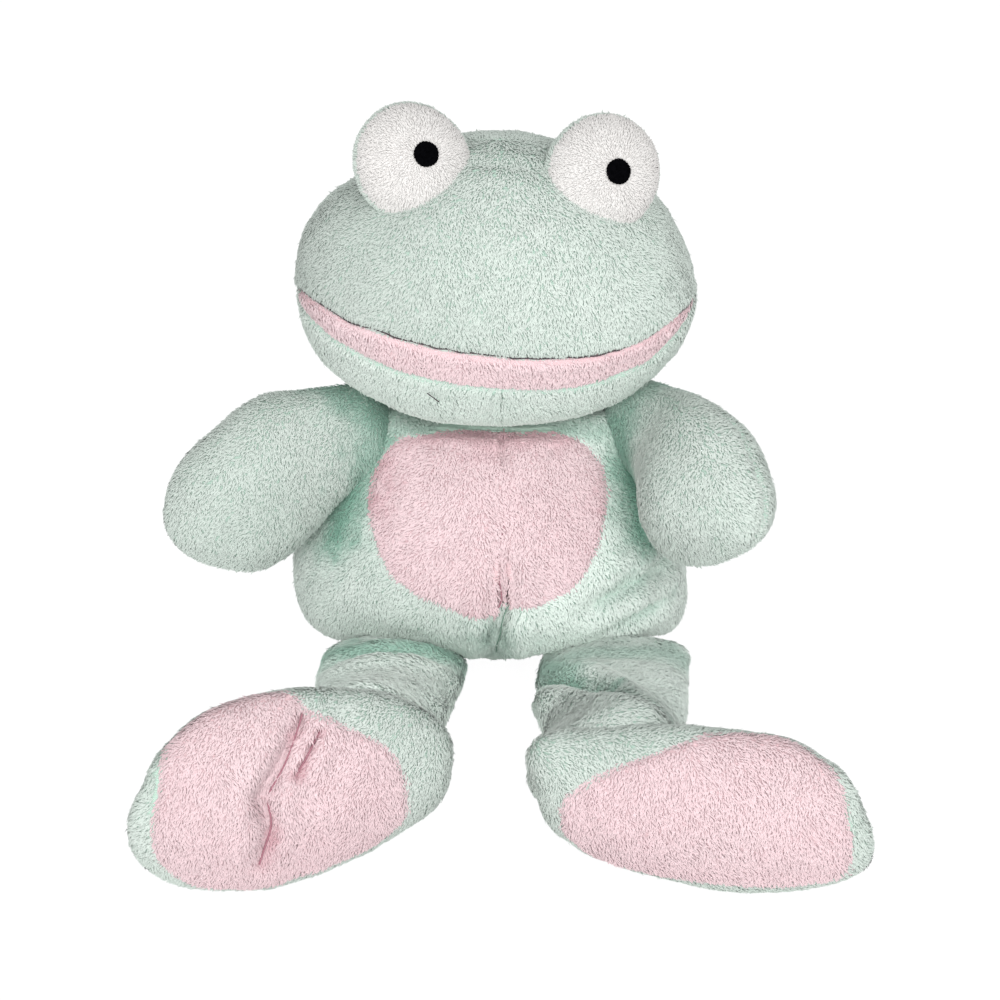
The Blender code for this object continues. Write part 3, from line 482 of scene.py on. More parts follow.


# tone paints light and shade: a factor that makes a panel's pile lighter or darker
def tufts(name, grid, chosen, surface, flow, length, keep=None, density=1.0, width=0.56, tone=1.0):
    """Bent three-sided tufts all over the chosen cells. Length and width are in millimetres."""
    row, column = np.argwhere(chosen).T
    at = [(row + r, (column + c) % grid.columns) for r, c in CORNERS]
    p, n = [grid.points[each] for each in at], [grid.normals[each] for each in at]
    area = np.linalg.norm(np.cross(p[2] - p[0], p[3] - p[1]), axis=1) / 2.0
    wanted = area * TUFTS_PER_AREA * density
    count = np.floor(wanted + RANDOM.random(len(wanted))).astype(int)
    of = np.repeat(np.arange(len(row)), count)
    down, side = RANDOM.random((2, len(of)))

    def mixed(corner):
        top = corner[0][of] * (1 - side)[:, None] + corner[1][of] * side[:, None]
        low = corner[3][of] * (1 - side)[:, None] + corner[2][of] * side[:, None]
        return top * (1 - down)[:, None] + low * down[:, None]

    root, normal = mixed(p), unit(mixed(n))
    place = np.stack([row[of] + down, column[of] + side], axis=1)
    if keep is not None:
        kept = keep(root)
        root, normal, place = root[kept], normal[kept], place[kept]
    total = len(root)
    jitter = RANDOM.normal(size=(4, total))

    # The way each tuft lies, its length and its width
    nap = flow(root)
    nap = unit(nap - normal * np.sum(nap * normal, axis=1, keepdims=True))
    turn = RUFFLE * (0.7 * noise(root, 17.0 * MM, 3) + 0.7 * noise(root, 4.5 * MM, 4)) + 0.34 * jitter[0]
    nap = nap * np.cos(turn)[:, None] + np.cross(normal, nap) * np.sin(turn)[:, None]
    lean = TUFT_LIE + RUFFLE * 0.10 * noise(root, 6.5 * MM, 5) + 0.06 * jitter[1]
    size = length * MM * (1.0 + 0.10 * noise(root, 9.0 * MM, 6) + 0.12 * jitter[2])
    size = np.clip(size, 0.5 * length * MM, 1.35 * length * MM)
    for line, reach in grid.seams:
        away = line_distance(root, line)[0] / reach
        size = size * (1.0 - 0.8 * np.exp(-away * away))
    size = size * (1.0 - 0.6 * smooth((-normal[:, 2] - 0.7) * 4.0))
    broad = width * MM * np.clip(1.0 + 0.22 * jitter[3], 0.5, 1.6)
    lean = np.where(RANDOM.random(total) < STRAY_SHARE, lean - 0.35, lean)
    first = np.clip(lean - 0.30, 0.0, 1.3)
    second = np.clip(lean + 0.20, 0.2, 1.5)
    start = normal * np.cos(first)[:, None] + nap * np.sin(first)[:, None]
    finish = normal * np.cos(second)[:, None] + nap * np.sin(second)[:, None]

    # Three points at the root, three at the bend and the tip
    swirl = np.stack([noise(root, 3.2 * MM, seed) for seed in (7, 8, 9)], axis=1) * 0.28 * MM
    middle = root + start * (size * 0.5)[:, None] + swirl * 0.4
    tip = middle + finish * (size * 0.5)[:, None] + swirl
    sidewise = unit(np.cross(normal, nap))
    rise_root = unit(np.cross(start, sidewise))
    rise_mid = unit(np.cross(unit(tip - root), sidewise))
    half = (broad / 2.0)[:, None]
    base = root - normal * ROOT_DEPTH
    points = np.stack([
        base - sidewise * half * 0.8, base + sidewise * half * 0.8, base + rise_root * half * 0.5,
        middle - sidewise * half, middle + sidewise * half, middle + rise_mid * half * 0.5, tip], axis=1)
    points[..., 2] = np.maximum(points[..., 2], TUFT_CLEAR)

    # The pile is lit mostly as the skin under it is
    own = np.stack([-sidewise, sidewise, rise_root, -sidewise, sidewise, rise_mid, finish], axis=1)
    lit = normal.copy()
    lit[:, 2] = np.maximum(lit[:, 2], -0.2)
    facing = unit(lit[:, None] + own * 0.22)
    quad_facing, tri_facing = facing[:, TUFT_QUADS], facing[:, TUFT_TIPS]
    quad_facing[:, 0] = -rise_mid[:, None]
    tri_facing[:, 0] = -rise_mid[:, None]
    low, high = place.min(axis=0), place.max(axis=0)
    at = ((place - low) / (high - low) * 0.98 + 0.005)[:, None, None]
    sides = np.array(((0, 0), (UV_STRIP, 0), (2 * UV_STRIP, 0)))[None, :, None]
    quad_step = np.array(((0, 0), (1, 0), (1, 1), (0, 1))) * np.array((UV_STRIP, UV_STRIP * 2.0))
    tri_step = np.array(((0.0, 2.0), (1.0, 2.0), (0.5, 4.0))) * UV_STRIP
    quad_uv, tri_uv = at + quad_step[None, None] + sides, at + tri_step[None, None] + sides

    # Colour: each tuft's own shade, the panel's tone, which is painted light and shade, and the painted shade
    # of the folds
    shades = RANDOM.random(total)
    light = tone(root) if callable(tone) else np.full(total, tone)
    # Painted shade: how much of the darker fold colour each tuft takes
    depth = np.zeros(total)
    ragged = noise(root, 7.0 * MM, 12) + 0.5 * noise(root, 2.5 * MM, 13)
    for line, strength, reach in grid.painted_shades:
        away = line_distance(root, line)[0] / reach
        away = away * (1.0 + 0.45 * ragged) + 0.12 * jitter[3]
        depth = np.maximum(depth, strength * np.exp(-away * away))
    order = np.argsort(root[:, 0], kind="stable")
    pieces = []
    for number, part in enumerate(np.array_split(order, math.ceil(total / MOST_TUFTS))):
        label = name + "_" + str(number + 1)
        first_corner = (np.arange(len(part)) * 7)[:, None, None]
        faces = [(first_corner + TUFT_QUADS[None]).reshape(-1, 4),
                 (first_corner + TUFT_TIPS[None]).reshape(-1, 3)]
        data = new_mesh(label, points[part].reshape(-1, 3), faces,
                        [quad_uv[part], tri_uv[part]], [quad_facing[part], tri_facing[part]])
        # tone carries painted light and shade, deep the painted shade of the folds
        for key, value in (("reach", np.tile(TUFT_REACH, len(part))), ("shade", np.repeat(shades[part], 7)),
                           ("tone", np.repeat(light[part], 7)), ("deep", np.repeat(depth[part], 7))):
            layer = data.attributes.new(key, "FLOAT", "POINT")
            layer.data.foreach_set("value", value.astype(np.float32))
        pieces.append(link(label, data, surface))
    return pieces


# ---------------------------------------------------------------- materials

class Nodes:
    """The nodes of a material or of the world."""

    def __init__(self, owner):
        owner.use_nodes = True
        self.tree = owner.node_tree
        self.place = None

    def add(self, kind, sockets, **values):
        node = self.tree.nodes.new("ShaderNode" + kind)
        for key, value in values.items():
            setattr(node, key, value)
        self.fill(node, sockets)
        return node

    def fill(self, node, sockets):
        """Sets each socket to a number or a colour, or joins it to an output."""
        for key, value in sockets.items():
            if isinstance(value, (int, float)):
                node.inputs[key].default_value = value
            elif isinstance(value, tuple):
                node.inputs[key].default_value = (*value, 1.0)
            else:
                self.tree.links.new(value, node.inputs[key])

    def vector(self):
        if self.place is None:
            self.place = self.add("TexCoord", {}).outputs["Object"]
        return self.place

    def noise(self, scale, detail=3.0, rough=0.6):
        return self.add("TexNoise", {"Scale": scale, "Detail": detail, "Roughness": rough,
                                     "Vector": self.vector()}).outputs["Fac"]

    def wave(self, direction, scale, distortion):
        return self.add("TexWave", {"Scale": scale, "Distortion": distortion, "Vector": self.vector()},
                        wave_type="BANDS", bands_direction=direction).outputs["Fac"]

    def attribute(self, name):
        return self.add("Attribute", {}, attribute_name=name).outputs["Fac"]

    def ramp(self, value, low, high):
        return self.add("MapRange", {"From Min": low, "From Max": high, "Value": value}).outputs["Result"]

    def mix(self, share, a, b, blend="MIX"):
        return self.add("Mix", {0: share, 6: a, 7: b}, data_type="RGBA", blend_type=blend).outputs[2]

    def bump(self, height, strength, distance):
        sockets = {"Strength": strength, "Distance": distance, "Height": height}
        return self.add("Bump", sockets).outputs["Normal"]

    def math(self, operation, a, b):
        return self.add("Math", {0: a, 1: b}, operation=operation).outputs[0]

    def mix_shader(self, share, a, b):
        return self.add("MixShader", {0: share, 1: a, 2: b}).outputs[0]

    def seen_rays(self):
        """1 for the camera's rays and for glossy and transmission rays, 0 for the rest."""
        path = self.add("LightPath", {}).outputs
        found = self.math("MAXIMUM", path["Is Camera Ray"], path["Is Glossy Ray"])
        return self.math("MAXIMUM", found, path["Is Transmission Ray"])


def fabric(name, roughness, sheen, specular):
    """A new material, its nodes and its shader."""
    material = bpy.data.materials.new(name)
    made = Nodes(material)
    shader = made.tree.nodes["Principled BSDF"]
    made.fill(shader, {"Roughness": roughness, "Sheen Weight": sheen, "Sheen Roughness": 0.5,
                       "Specular IOR Level": specular})
    return material, made, shader


def pile_material(name, root, tip, worn, accent, deep):
    """Brushed plush fibre: darker at the root as painted shade, patchy with wear, each tuft a little
    different, with painted shade in folds and painted light and shade by the tone.
    """
    material, made, shader = fabric(name, 0.92, 0.12, 0.12)
    # Painted shade: darker from tip to root, as in the gaps between the tufts
    along = made.mix(made.ramp(made.attribute("reach"), 0.0, 0.9), root, tip)
    patches = made.mix(made.ramp(made.noise(26.0), 0.40, 0.68), along, made.mix(0.5, along, worn))
    # Painted shade: the deep colour where the tufts lie in folds and between parts
    with_painted_shade = made.mix(made.ramp(made.attribute("deep"), 0.0, 1.0), patches, deep)
    each = made.mix(made.ramp(made.attribute("shade"), 0.0, 1.0), with_painted_shade, accent, "MULTIPLY")
    fine = made.mix(made.ramp(made.noise(700.0, 2.0), 0.35, 0.65), each, (0.93, 0.94, 0.935), "MULTIPLY")
    # Painted light and shade: the tone lightens or darkens the pile
    with_painted_light = made.add("HueSaturation", {"Value": made.attribute("tone"), "Color": fine})
    made.fill(shader, {"Base Color": with_painted_light.outputs["Color"],
                       "Normal": made.bump(made.noise(2600.0, 2.0), 0.25, 0.0003)})
    return material


def cloth_material(name, colour, dark):
    """The knitted backing under the pile."""
    material, made, shader = fabric(name, 0.95, 0.15, 0.1)
    weave = made.wave("Z", 420.0, 2.5)
    knit = made.mix(weave, dark, colour)
    made.fill(shader, {"Base Color": made.mix(made.ramp(made.noise(45.0), 0.35, 0.7), knit, dark),
                       "Normal": made.bump(weave, 0.5, 0.0004)})
    return material


def thread_material(name, colour, light, scale, gloss):
    """Twisted sewing or embroidery thread with a slight gloss."""
    material, made, shader = fabric(name, 0.75, 0.0, gloss)
    strands = made.wave("DIAGONAL", scale, 1.5)
    tone = made.mix(strands, colour, light)
    made.fill(shader, {"Base Color": made.mix(made.ramp(made.noise(900.0), 0.4, 0.7), tone, colour),
                       "Normal": made.bump(strands, 0.35, 0.0002)})
    return material


# Pile colours: root, tip, worn, accent and deep. The darker roots and the deep colours are painted shade.
MINT_PILE = pile_material("mint_pile", (0.63, 0.745, 0.67), (0.725, 0.795, 0.745), (0.755, 0.815, 0.77),
                          (0.955, 0.97, 0.96), (0.23, 0.45, 0.35))
PINK_PILE = pile_material("pink_pile", (0.86, 0.61, 0.64), (0.915, 0.715, 0.745), (0.925, 0.74, 0.765),
                          (0.985, 0.96, 0.965), (0.66, 0.34, 0.39))
WHITE_PILE = pile_material("white_pile", (0.80, 0.775, 0.76), (0.84, 0.815, 0.80), (0.85, 0.83, 0.815),
                           (0.98, 0.975, 0.97), (0.62, 0.58, 0.56))
MINT_CLOTH = cloth_material("mint_cloth", (0.62, 0.78, 0.68), (0.50, 0.68, 0.58))
PINK_CLOTH = cloth_material("pink_cloth", (0.90, 0.68, 0.70), (0.84, 0.58, 0.61))
WHITE_CLOTH = cloth_material("white_cloth", (0.90, 0.87, 0.85), (0.84, 0.81, 0.79))
BLACK_THREAD = thread_material("black_embroidery", (0.0012, 0.0012, 0.0016), (0.004, 0.004, 0.005), 900.0,
                               0.0)
# The seam threads are partly real thread and partly painted shade, drawn dark to show the shade in the seams'
# grooves. On the left sole the rose one is painted shade alone, along folds.
SEAM_THREAD_AND_SHADE = thread_material("seam_thread_and_shade", (0.055, 0.045, 0.05), (0.12, 0.09, 0.10), 700.0, 0.15)
SAGE_THREAD_AND_SEAM_SHADE = thread_material("sage_thread_and_seam_shade", (0.16, 0.27, 0.21), (0.26, 0.38, 0.31), 700.0, 0.1)
ROSE_THREAD_AND_FOLD_SHADE = thread_material("rose_thread_and_fold_shade", (0.34, 0.15, 0.19), (0.48, 0.24, 0.28), 700.0, 0.1)
LOOKS = {"mint": (MINT_CLOTH, MINT_PILE, "mint_plush"), "pink": (PINK_CLOTH, PINK_PILE, "pink_plush"),
         "white": (WHITE_CLOTH, WHITE_PILE, "white_plush")}


# ---------------------------------------------------------------- forms

def torso_section(height):
    """Half width, middle and half depth of the torso at a height in metres."""
    share = np.clip((height + FLAT_DEPTH) / (TORSO_HEIGHT + FLAT_DEPTH), 0.0, TORSO_PROFILE[-1, 0])
    width = curve(share, TORSO_PROFILE, 1)
    front = curve(share, TORSO_PROFILE, 2) * TORSO_FRONT
    back = curve(share, TORSO_PROFILE, 3) * TORSO_BACK
    return width, (front + back) / 2.0, (back - front) / 2.0


def torso_grid(rows=96, columns=288):
    share = np.linspace(0.0, TORSO_PROFILE[-1, 0], rows - 2)
    level = share * (TORSO_HEIGHT + FLAT_DEPTH) - FLAT_DEPTH
    width, middle, depth = (part[:, None] for part in torso_section(level))
    angle = circle(columns)[None]
    half = np.where(np.cos(angle) < 0.0, TORSO_HALF_LEFT, TORSO_HALF_RIGHT)
    body = np.stack([width * half * np.cos(angle), middle + depth * np.sin(angle),
                     np.broadcast_to(level[:, None], (rows - 2, columns))], axis=2)
    return capped(body[:1].mean(axis=1, keepdims=True), body, body[-1:].mean(axis=1, keepdims=True))


def sculpt_torso(grid):
    middle = ((0.5, -14, 94), (0.5, -28, 84), (0.5, -40, 72), (0.5, -50, 58), (0.0, -57, 45),
              (-1.8, -59.5, 34), (-2.5, -55, 21), (-2.5, -40, 8))
    long_fold = ((66, -20, 48), (61, -28, 45), (49, -41, 45), (37, -49, 41), (26, -54, 36))
    low_fold = ((66, -26, 36), (57, -35, 32), (45, -47, 31), (36, -50, 27))
    grid.seam(middle, 2.6, 1.3, 0.5)
    grid.crease((middle, (0.4, 0.8, 1.6, 3.4, 5.0, 5.8, 5.4, 3.4), 5.0))
    grid.push(
        ((-43, 6, 92), (-3.5, -1.5, 5), 14), ((40, 6, 93), (3.5, -1.5, 5.5), 14),
        ((-66, -22, 20), (-4, -2, -1), 24), ((-78, -10, 46), (-3, 0, 0), 18),
        ((-72, -14, 5), (4.5, 0, 0), 14), ((66, -24, 20), (2, -2, 0), 22),
        ((-77, -15, 23), (-2, -0.6, -0.8), 16), ((-70, -24, 14), (-1.6, -1.2, -1.6), 12),
        ((66, -16, 13), (2.6, -1.4, -1.8), 13))
    grid.crease(
        (((56, -30, 64), (50, -42, 52), (46, -50, 44)), (0.5, 2.2, 0.4), 5.0),
        (((66, -20, 52), (60, -36, 40), (52, -48, 34)), (0.6, 2.4, 0.4), 5.0),
        (long_fold, (0.6, 3.0, 3.4, 2.4, 0.3), 4.0, 0.6),
        (low_fold, (0.5, 2.8, 2.6, 0.3), 3.6, 0.6))
    # Painted shade: along the folds, beside the arms, under the head, at the crotch and in the belly seam
    grid.paint_shade(
        (long_fold[:4], 0.4, 3.0), (low_fold[:3], 0.35, 2.8),
        (((-46, 0, 84), (-54, -8, 74), (-60, -15, 66), (-65, -20, 57)), 0.95, 11),
        (((46, 0, 86), (50, -12, 76), (52, -20, 68), (54, -25, 60)), 1.0, 9.5),
        (((-52, 0, 88), (-36, -4, 91), (0, -14, 95.5), (34, -4, 92), (50, 0, 88)), 0.6, 6),
        (((-2, -58, 30), (-2.5, -54, 18), (-2.5, -42, 6)), 0.55, 7),
        (((0.5, -50, 58), (0, -57, 45), (-1.8, -59.5, 34)), 0.95, 1.9))
    return grid.lumps(0.9, 26.0, 21).lumps(0.35, 9.0, 22)


def belly_surface(flat_places):
    """Points on the front of the torso over places (x, z)."""
    x, z = flat_places[..., 0], flat_places[..., 1]
    width, middle, depth = torso_section(z)
    half = np.where(x < 0.0, TORSO_HALF_LEFT, TORSO_HALF_RIGHT) * width
    across = np.clip(x / half, -0.995, 0.995)
    return np.stack([x, middle - depth * np.sqrt(1.0 - across * across), z], axis=-1)


def patch_grid(outline, centre, surface, outward, rings=64, columns=240):
    """A patch as rings from its centre to its outline, laid on a surface."""
    edge = closed_curve(outline, columns)
    share = np.linspace(0.0, 1.0, rings)[:, None, None]
    places = centre + (edge[None] - centre) * share
    return Grid(surface(places), last_pole=False, outward=np.array(outward)).inset(INSET - PIECE_LIFT)


def head_lines(along):
    """Angles round the head of each long grid line."""
    low = np.radians(curve(along, MOUTH_LOW))
    top = np.radians(curve(along, MOUTH_TOP))
    top = np.maximum(top, low + 0.01)
    ends = (low, top, CROWN_SEAM, NAPE_SEAM, low + 2.0 * math.pi)
    parts = []
    for start, end, count in zip(ends, ends[1:], np.diff(HEAD_COLUMNS)):
        share = np.arange(count)[None] / count
        start = np.broadcast_to(start, along.shape)[:, None]
        end = np.broadcast_to(end, along.shape)[:, None]
        parts.append(start + (end - start) * share)
    return np.concatenate(parts, axis=1)


def head_grid(rows=104):
    turn = half_circle(rows)
    along = -np.cos(turn)
    full = np.sin(turn)[:, None] ** HEAD_FULLNESS
    angle = head_lines(along)
    rise = np.sin(angle)
    height = np.where(rise > 0.0, HEAD_UPPER_HEIGHT, HEAD_LOWER_HEIGHT)
    narrowed = 1.0 - HEAD_TAPER * (np.maximum(rise, 0.0) * full) ** 2
    body = HEAD_CENTRE + np.stack([along[:, None] * HEAD_HALF_WIDTH * narrowed,
                                   -full * HEAD_HALF_DEPTH * np.cos(angle), full * height * rise], axis=2)
    reach = np.array((HEAD_HALF_WIDTH, 0.0, 0.0))
    return capped(HEAD_CENTRE - reach, body, HEAD_CENTRE + reach)


def sculpt_head(grid):
    grid.seam(grid.points[1:-1:2, HEAD_COLUMNS[1]] / MM, 1.6, 1.5, 0.45)
    grid.seam(grid.points[1:-1:2, HEAD_COLUMNS[0]] / MM, 1.0, 1.5, 0.4)
    grid.seam(((0.1, -41, 124), (0.1, -34, 112), (0.1, -24, 103)), 1.5, 1.8)
    grid.crease((((-14, -10, 207), (-5, -12, 208), (4, -12, 208), (14, -13, 207)), (0.4, 1.2, 1.2, 0.4), 3.0))
    grid.push(
        ((-70, 0, 184), (-4.4, 0, 1.6), 28), ((66, 0, 188), (1.4, 0, 0.5), 24),
        ((69, 3, 169), (-3.4, 0, -0.6), 16), ((64, -5, 118), (-1.8, 0, 0.6), 20),
        ((-64, -5, 118), (0.6, 0, 0.2), 18), ((-66, -8, 126), (-1.4, 0, -0.6), 16))
    return grid.lumps(1.0, 30.0, 31).lumps(0.3, 9.0, 32)


def eye_basis():
    forward = unit(np.array((math.sin(EYE_YAW), -math.cos(EYE_PITCH), math.sin(EYE_PITCH))))
    across = unit(np.cross(np.array((0.0, 0.0, 1.0)), forward))
    across = across if across[0] > 0.0 else -across
    up = unit(np.cross(across, forward))
    up = up if up[2] > 0.0 else -up
    return forward, across, up


def eye_grid(side, back_rows=22, columns=96):
    forward, across, up = eye_basis()
    centre = EYE_CENTRES[side]
    tilt = np.concatenate([EYE_SEAM * np.arange(1, WHITE_ROWS + 1) / WHITE_ROWS,
                           EYE_SEAM + (math.pi - EYE_SEAM) * np.arange(1, back_rows) / back_rows])[:, None]
    turn = circle(columns)[None]
    spread = EYE_RADIUS * np.sin(tilt)
    body = (centre + (EYE_HALF_DEPTH * np.cos(tilt))[..., None] * forward
            + (spread * np.cos(turn))[..., None] * across + (spread * np.sin(turn))[..., None] * up)
    return capped(centre + forward * EYE_HALF_DEPTH, body, centre - forward * EYE_HALF_DEPTH)


def shoulder_frame(side):
    """Directions of the shoulder's seam and of the arm, across both, and square to the seam."""
    seam = np.array((0.0, math.sin(SHOULDER_LEAN), math.cos(SHOULDER_LEAN)))
    yaw, droop = ARM_YAW[side], ARM_DROOP[side]
    along = np.array((side * math.cos(yaw) * math.cos(droop), -math.sin(yaw) * math.cos(droop),
                      -math.sin(droop)))
    across = unit(np.cross(seam, along))
    return seam, along, across, unit(np.cross(across, seam))


def limb_rows(rows, total, start, widest, end):
    """Reach of each row of a limb from its joint, and how its rounded start and end narrow it there."""
    share = (1.0 - np.cos(half_circle(rows))) / 2.0
    reach = total * share - start
    return reach, rounded(np.minimum(reach, 0.0) / start), rounded(np.maximum(reach - widest, 0.0) / end)


def arm_grid(side, rows=64, columns=96):
    seam, along, across, square = shoulder_frame(side)
    root = SHOULDERS[side]
    drop = along @ seam
    reach, start, end = limb_rows(rows, ARM_LENGTH + SHOULDER_RADIUS, SHOULDER_RADIUS, ARM_WIDEST,
                                  ARM_LENGTH - ARM_WIDEST)
    grown = smooth(reach / ARM_WIDEST)
    width = SHOULDER_HALF_WIDTH + (ARM_HALF_WIDTH - SHOULDER_HALF_WIDTH) * grown
    thick = SHOULDER_RADIUS + (ARM_HALF_THICKNESS - SHOULDER_RADIUS) * grown
    width = width * np.sqrt(start) * end
    thick = thick * start * end
    middle = root + square * reach[:, None] + seam * (drop * np.maximum(reach, 0.0))[:, None]
    turn = circle(columns)
    body = (middle[:, None] + seam * (width[:, None] * np.cos(turn))[..., None]
            + across * (thick[:, None] * np.sin(turn))[..., None])
    tip = root + square * ARM_LENGTH + seam * (drop * ARM_LENGTH)
    return capped(root - square * SHOULDER_RADIUS, body, tip)


def sculpt_arm(grid, side):
    for column in (0, grid.columns // 2):
        grid.seam(grid.points[14:-1:2, column] / MM, 0.9, 1.6, 0.4)
    if side < 0:
        grid.push(
            ((-76, -20, 104), (0, 0, 2.5), 18), ((-60, 5, 104), (-2, -1, 6.5), 18),
            ((-70, -30, 66), (0, -1, -7), 20), ((-92, -30, 53), (-0.4, -3, -5), 16),
            ((-112, -11, 97), (2, -0.5, -1.6), 16))
        # Painted shade where the arm's root meets the torso
        grid.paint_shade((((-62, 2, 106), (-53, 0, 103), (-45, -4, 96), (-44, -8, 86), (-50, -14, 74)), 0.9, 11))
    else:
        grid.push(
            ((57, 3, 103), (1, -1, 6.5), 18), ((49, 2, 100), (-5, 0, 4), 14),
            ((100, -60, 66), (-3, 0, 2.5), 16), ((82, -24, 114), (-0.9, -0.9, -2), 12),
            ((91, -72, 73), (-2, 1.8, 3), 15), ((63, -52, 80), (-8, -2, 0), 22),
            ((70, -46, 62), (-5, 0, -2), 18))
        # Painted shade where the arm's root meets the torso
        grid.paint_shade((((64, 0, 106), (53, -1, 104), (47, -6, 98), (46, -12, 88), (50, -24, 74)), 0.9, 10))
    return grid.lumps(0.9, 24.0, 45 + side).lumps(0.35, 8.0, 47 + side)


def leg_grid(side, rows=70, columns=96):
    hip, ankle = HIPS[side], ANKLES[side]
    length = hip[1] - ankle[1]
    reach, start, end = limb_rows(rows, length + HIP_RADIUS + ANKLE_RADIUS, HIP_RADIUS, length, ANKLE_RADIUS)
    part = np.clip(reach / length, 0.0, 1.0)
    middle = hip + (ankle - hip) * part[:, None]
    middle[:, 1] = hip[1] - reach
    width = HIP_HALF_WIDTH + (ANKLE_RADIUS - HIP_HALF_WIDTH) * smooth(part)
    width = width + (LEG_MID_HALF_WIDTH - HIP_HALF_WIDTH) * np.sin(math.pi * part)
    height = HIP_RADIUS + (ANKLE_RADIUS - HIP_RADIUS) * part
    width, height = width * np.sqrt(start) * end, height * start * end
    turn = circle(columns)
    body = np.stack([middle[:, :1] + width[:, None] * np.cos(turn),
                     np.broadcast_to(middle[:, 1:2], (rows - 2, columns)),
                     middle[:, 2:] + height[:, None] * np.sin(turn)], axis=2)
    return capped(hip + np.array((0.0, HIP_RADIUS, 0.0)), body, ankle - np.array((0.0, ANKLE_RADIUS, 0.0)))


def sculpt_leg(grid, side):
    if side < 0:
        fold = ((-72, -66, 24), (-54, -68, 30), (-38, -68, 31), (-22, -66, 28), (-12, -62, 22))
        grid.push(((-50, -142, 50), (0, -2, 13), 24), ((-74, -90, 25), (1, 0, 0), 20))
        grid.crease(
            (fold, (0.8, 4.4, 5.0, 3.6, 0.6), 5.0, 0.5),
            (((-66, -98, 36), (-52, -92, 38), (-38, -90, 38), (-24, -92, 34)), (0.2, 0.8, 0.9, 0.2), 6.0),
            (((-68, -118, 40), (-54, -112, 43), (-44, -116, 44)), (0.2, 0.6, 0.2), 5.0))
        # Painted shade where the leg meets the belly
        grid.paint_shade(
            (((-68, -50, 20), (-54, -62, 28), (-39, -64, 30), (-24, -58, 25), (-12, -56, 20)), 0.8, 9))
    else:
        fold = ((14, -76, 20), (22, -87, 27), (29, -98, 35), (36, -116, 44), (43, -133, 51), (50, -141, 51),
                (56, -142, 47), (65, -134, 38))
        grid.push(
            ((43, -150, 50), (0, -2, 8.5), 25), ((67, -46, 15), (3, 1, 2.2), 13),
            ((18, -142, 32), (-6, 0, 0), 24), ((16, -154, 20), (-6, 0, 0), 18),
            ((20, -160, 34), (-8, -2, 0), 15), ((12, -100, 25), (-4, 0, 0), 30))
        grid.crease(
            (fold, (1.6, 4.5, 6.0, 6.0, 5.5, 5.0, 3.4, 1.0), 4.8, 0.5),
            (((14, -66, 24), (34, -70, 33), (56, -68, 31), (70, -64, 22)), (0.4, 1.4, 1.5, 0.4), 5.0),
            (((66, -92, 34), (54, -96, 40), (44, -96, 41)), (0.2, 0.9, 0.2), 5.5))
        # Painted shade in the fold, under the belly and at the crotch
        grid.paint_shade(
            (fold, 0.95, 5.0),
            (((16, -66, 22), (26, -64, 27), (41, -64, 30), (56, -60, 27), (68, -54, 22)), 0.45, 9),
            (((12, -60, 18), (18, -72, 24), (24, -84, 28)), 0.7, 10))
    grid.seam(fold, 0.8, 1.8, 0.8)
    return grid.lumps(0.8, 22.0, 51).lumps(0.35, 8.0, 52)


def foot_frame(side):
    """The foot's centre and its directions towards the toe, out of the sole and up the sole."""
    yaw = FOOT_YAW[side]
    toe = np.array((side * math.cos(yaw), -math.sin(yaw), 0.0))
    level = np.array((-side * math.sin(yaw), -math.cos(yaw), 0.0))
    out = level * math.cos(FOOT_TILT) + np.array((0.0, 0.0, math.sin(FOOT_TILT)))
    rise = np.array((0.0, 0.0, math.cos(FOOT_TILT))) - level * math.sin(FOOT_TILT)
    x, y = FOOT_PLACE[side]
    return np.array((x, y, FOOT_HALF_HEIGHT[side] * rise[2] - FLAT_DEPTH)), toe, out, rise


def foot_surface(side, along, turn):
    centre, toe, out, rise = foot_frame(side)
    full = rounded(along) ** FOOT_FULLNESS
    height = FOOT_HALF_HEIGHT[side] * full * (1.0 + FOOT_TOE * along)
    thick = FOOT_HALF_THICKNESS * full * (1.0 - FOOT_TOE * along)
    depth = thick * np.cos(turn)
    depth = np.where(depth > 0.0, depth * SOLE_FLAT, depth)
    return (centre + (along * FOOT_HALF_LENGTH[side])[..., None] * toe + depth[..., None] * out
            + (height * np.sin(turn))[..., None] * rise)


def foot_grid(side, rows=84, columns=120):
    along, turn = np.broadcast_arrays(-np.cos(half_circle(rows))[:, None], circle(columns)[None])
    centre, toe = foot_frame(side)[:2]
    reach = toe * FOOT_HALF_LENGTH[side]
    return capped(centre - reach, foot_surface(side, along, turn), centre + reach)


def sole_full(along):
    """Height of the sole at a place along the foot, as a share of the half height."""
    return rounded(along) ** FOOT_FULLNESS * (1.0 + FOOT_TOE * along)


def sole_surface(side, places):
    """Points on the sole over places (along, height). Heights past the rim go on over it."""
    along = np.clip(places[..., 0], -0.985, 0.985)
    share = places[..., 1] / sole_full(along)
    rim = math.sin(SOLE_RIM)
    over = np.maximum(np.abs(share) - rim, 0.0) * SOLE_WRAP
    return foot_surface(side, along, np.arcsin(np.clip(share, -rim, rim)) + np.sign(share) * over)


def sole_place(side, points):
    """The place (along, height) on the sole of each point of the foot's skin."""
    centre, toe, out, rise = foot_frame(side)
    local = points - centre
    along = local @ toe / FOOT_HALF_LENGTH[side]
    full = sole_full(along)
    deep = local @ out
    thick = FOOT_HALF_THICKNESS * full * np.where(deep > 0.0, SOLE_FLAT, 1.0)
    height = local @ rise / FOOT_HALF_HEIGHT[side] / np.maximum(full, 0.05)
    turn = np.arctan2(height, deep / np.maximum(thick, 1e-4))
    over = np.maximum(np.abs(turn) - SOLE_RIM, 0.0) / SOLE_WRAP
    share = np.sin(np.clip(turn, -SOLE_RIM, SOLE_RIM)) + np.sign(turn) * over
    return np.stack([along, share * full], axis=1)


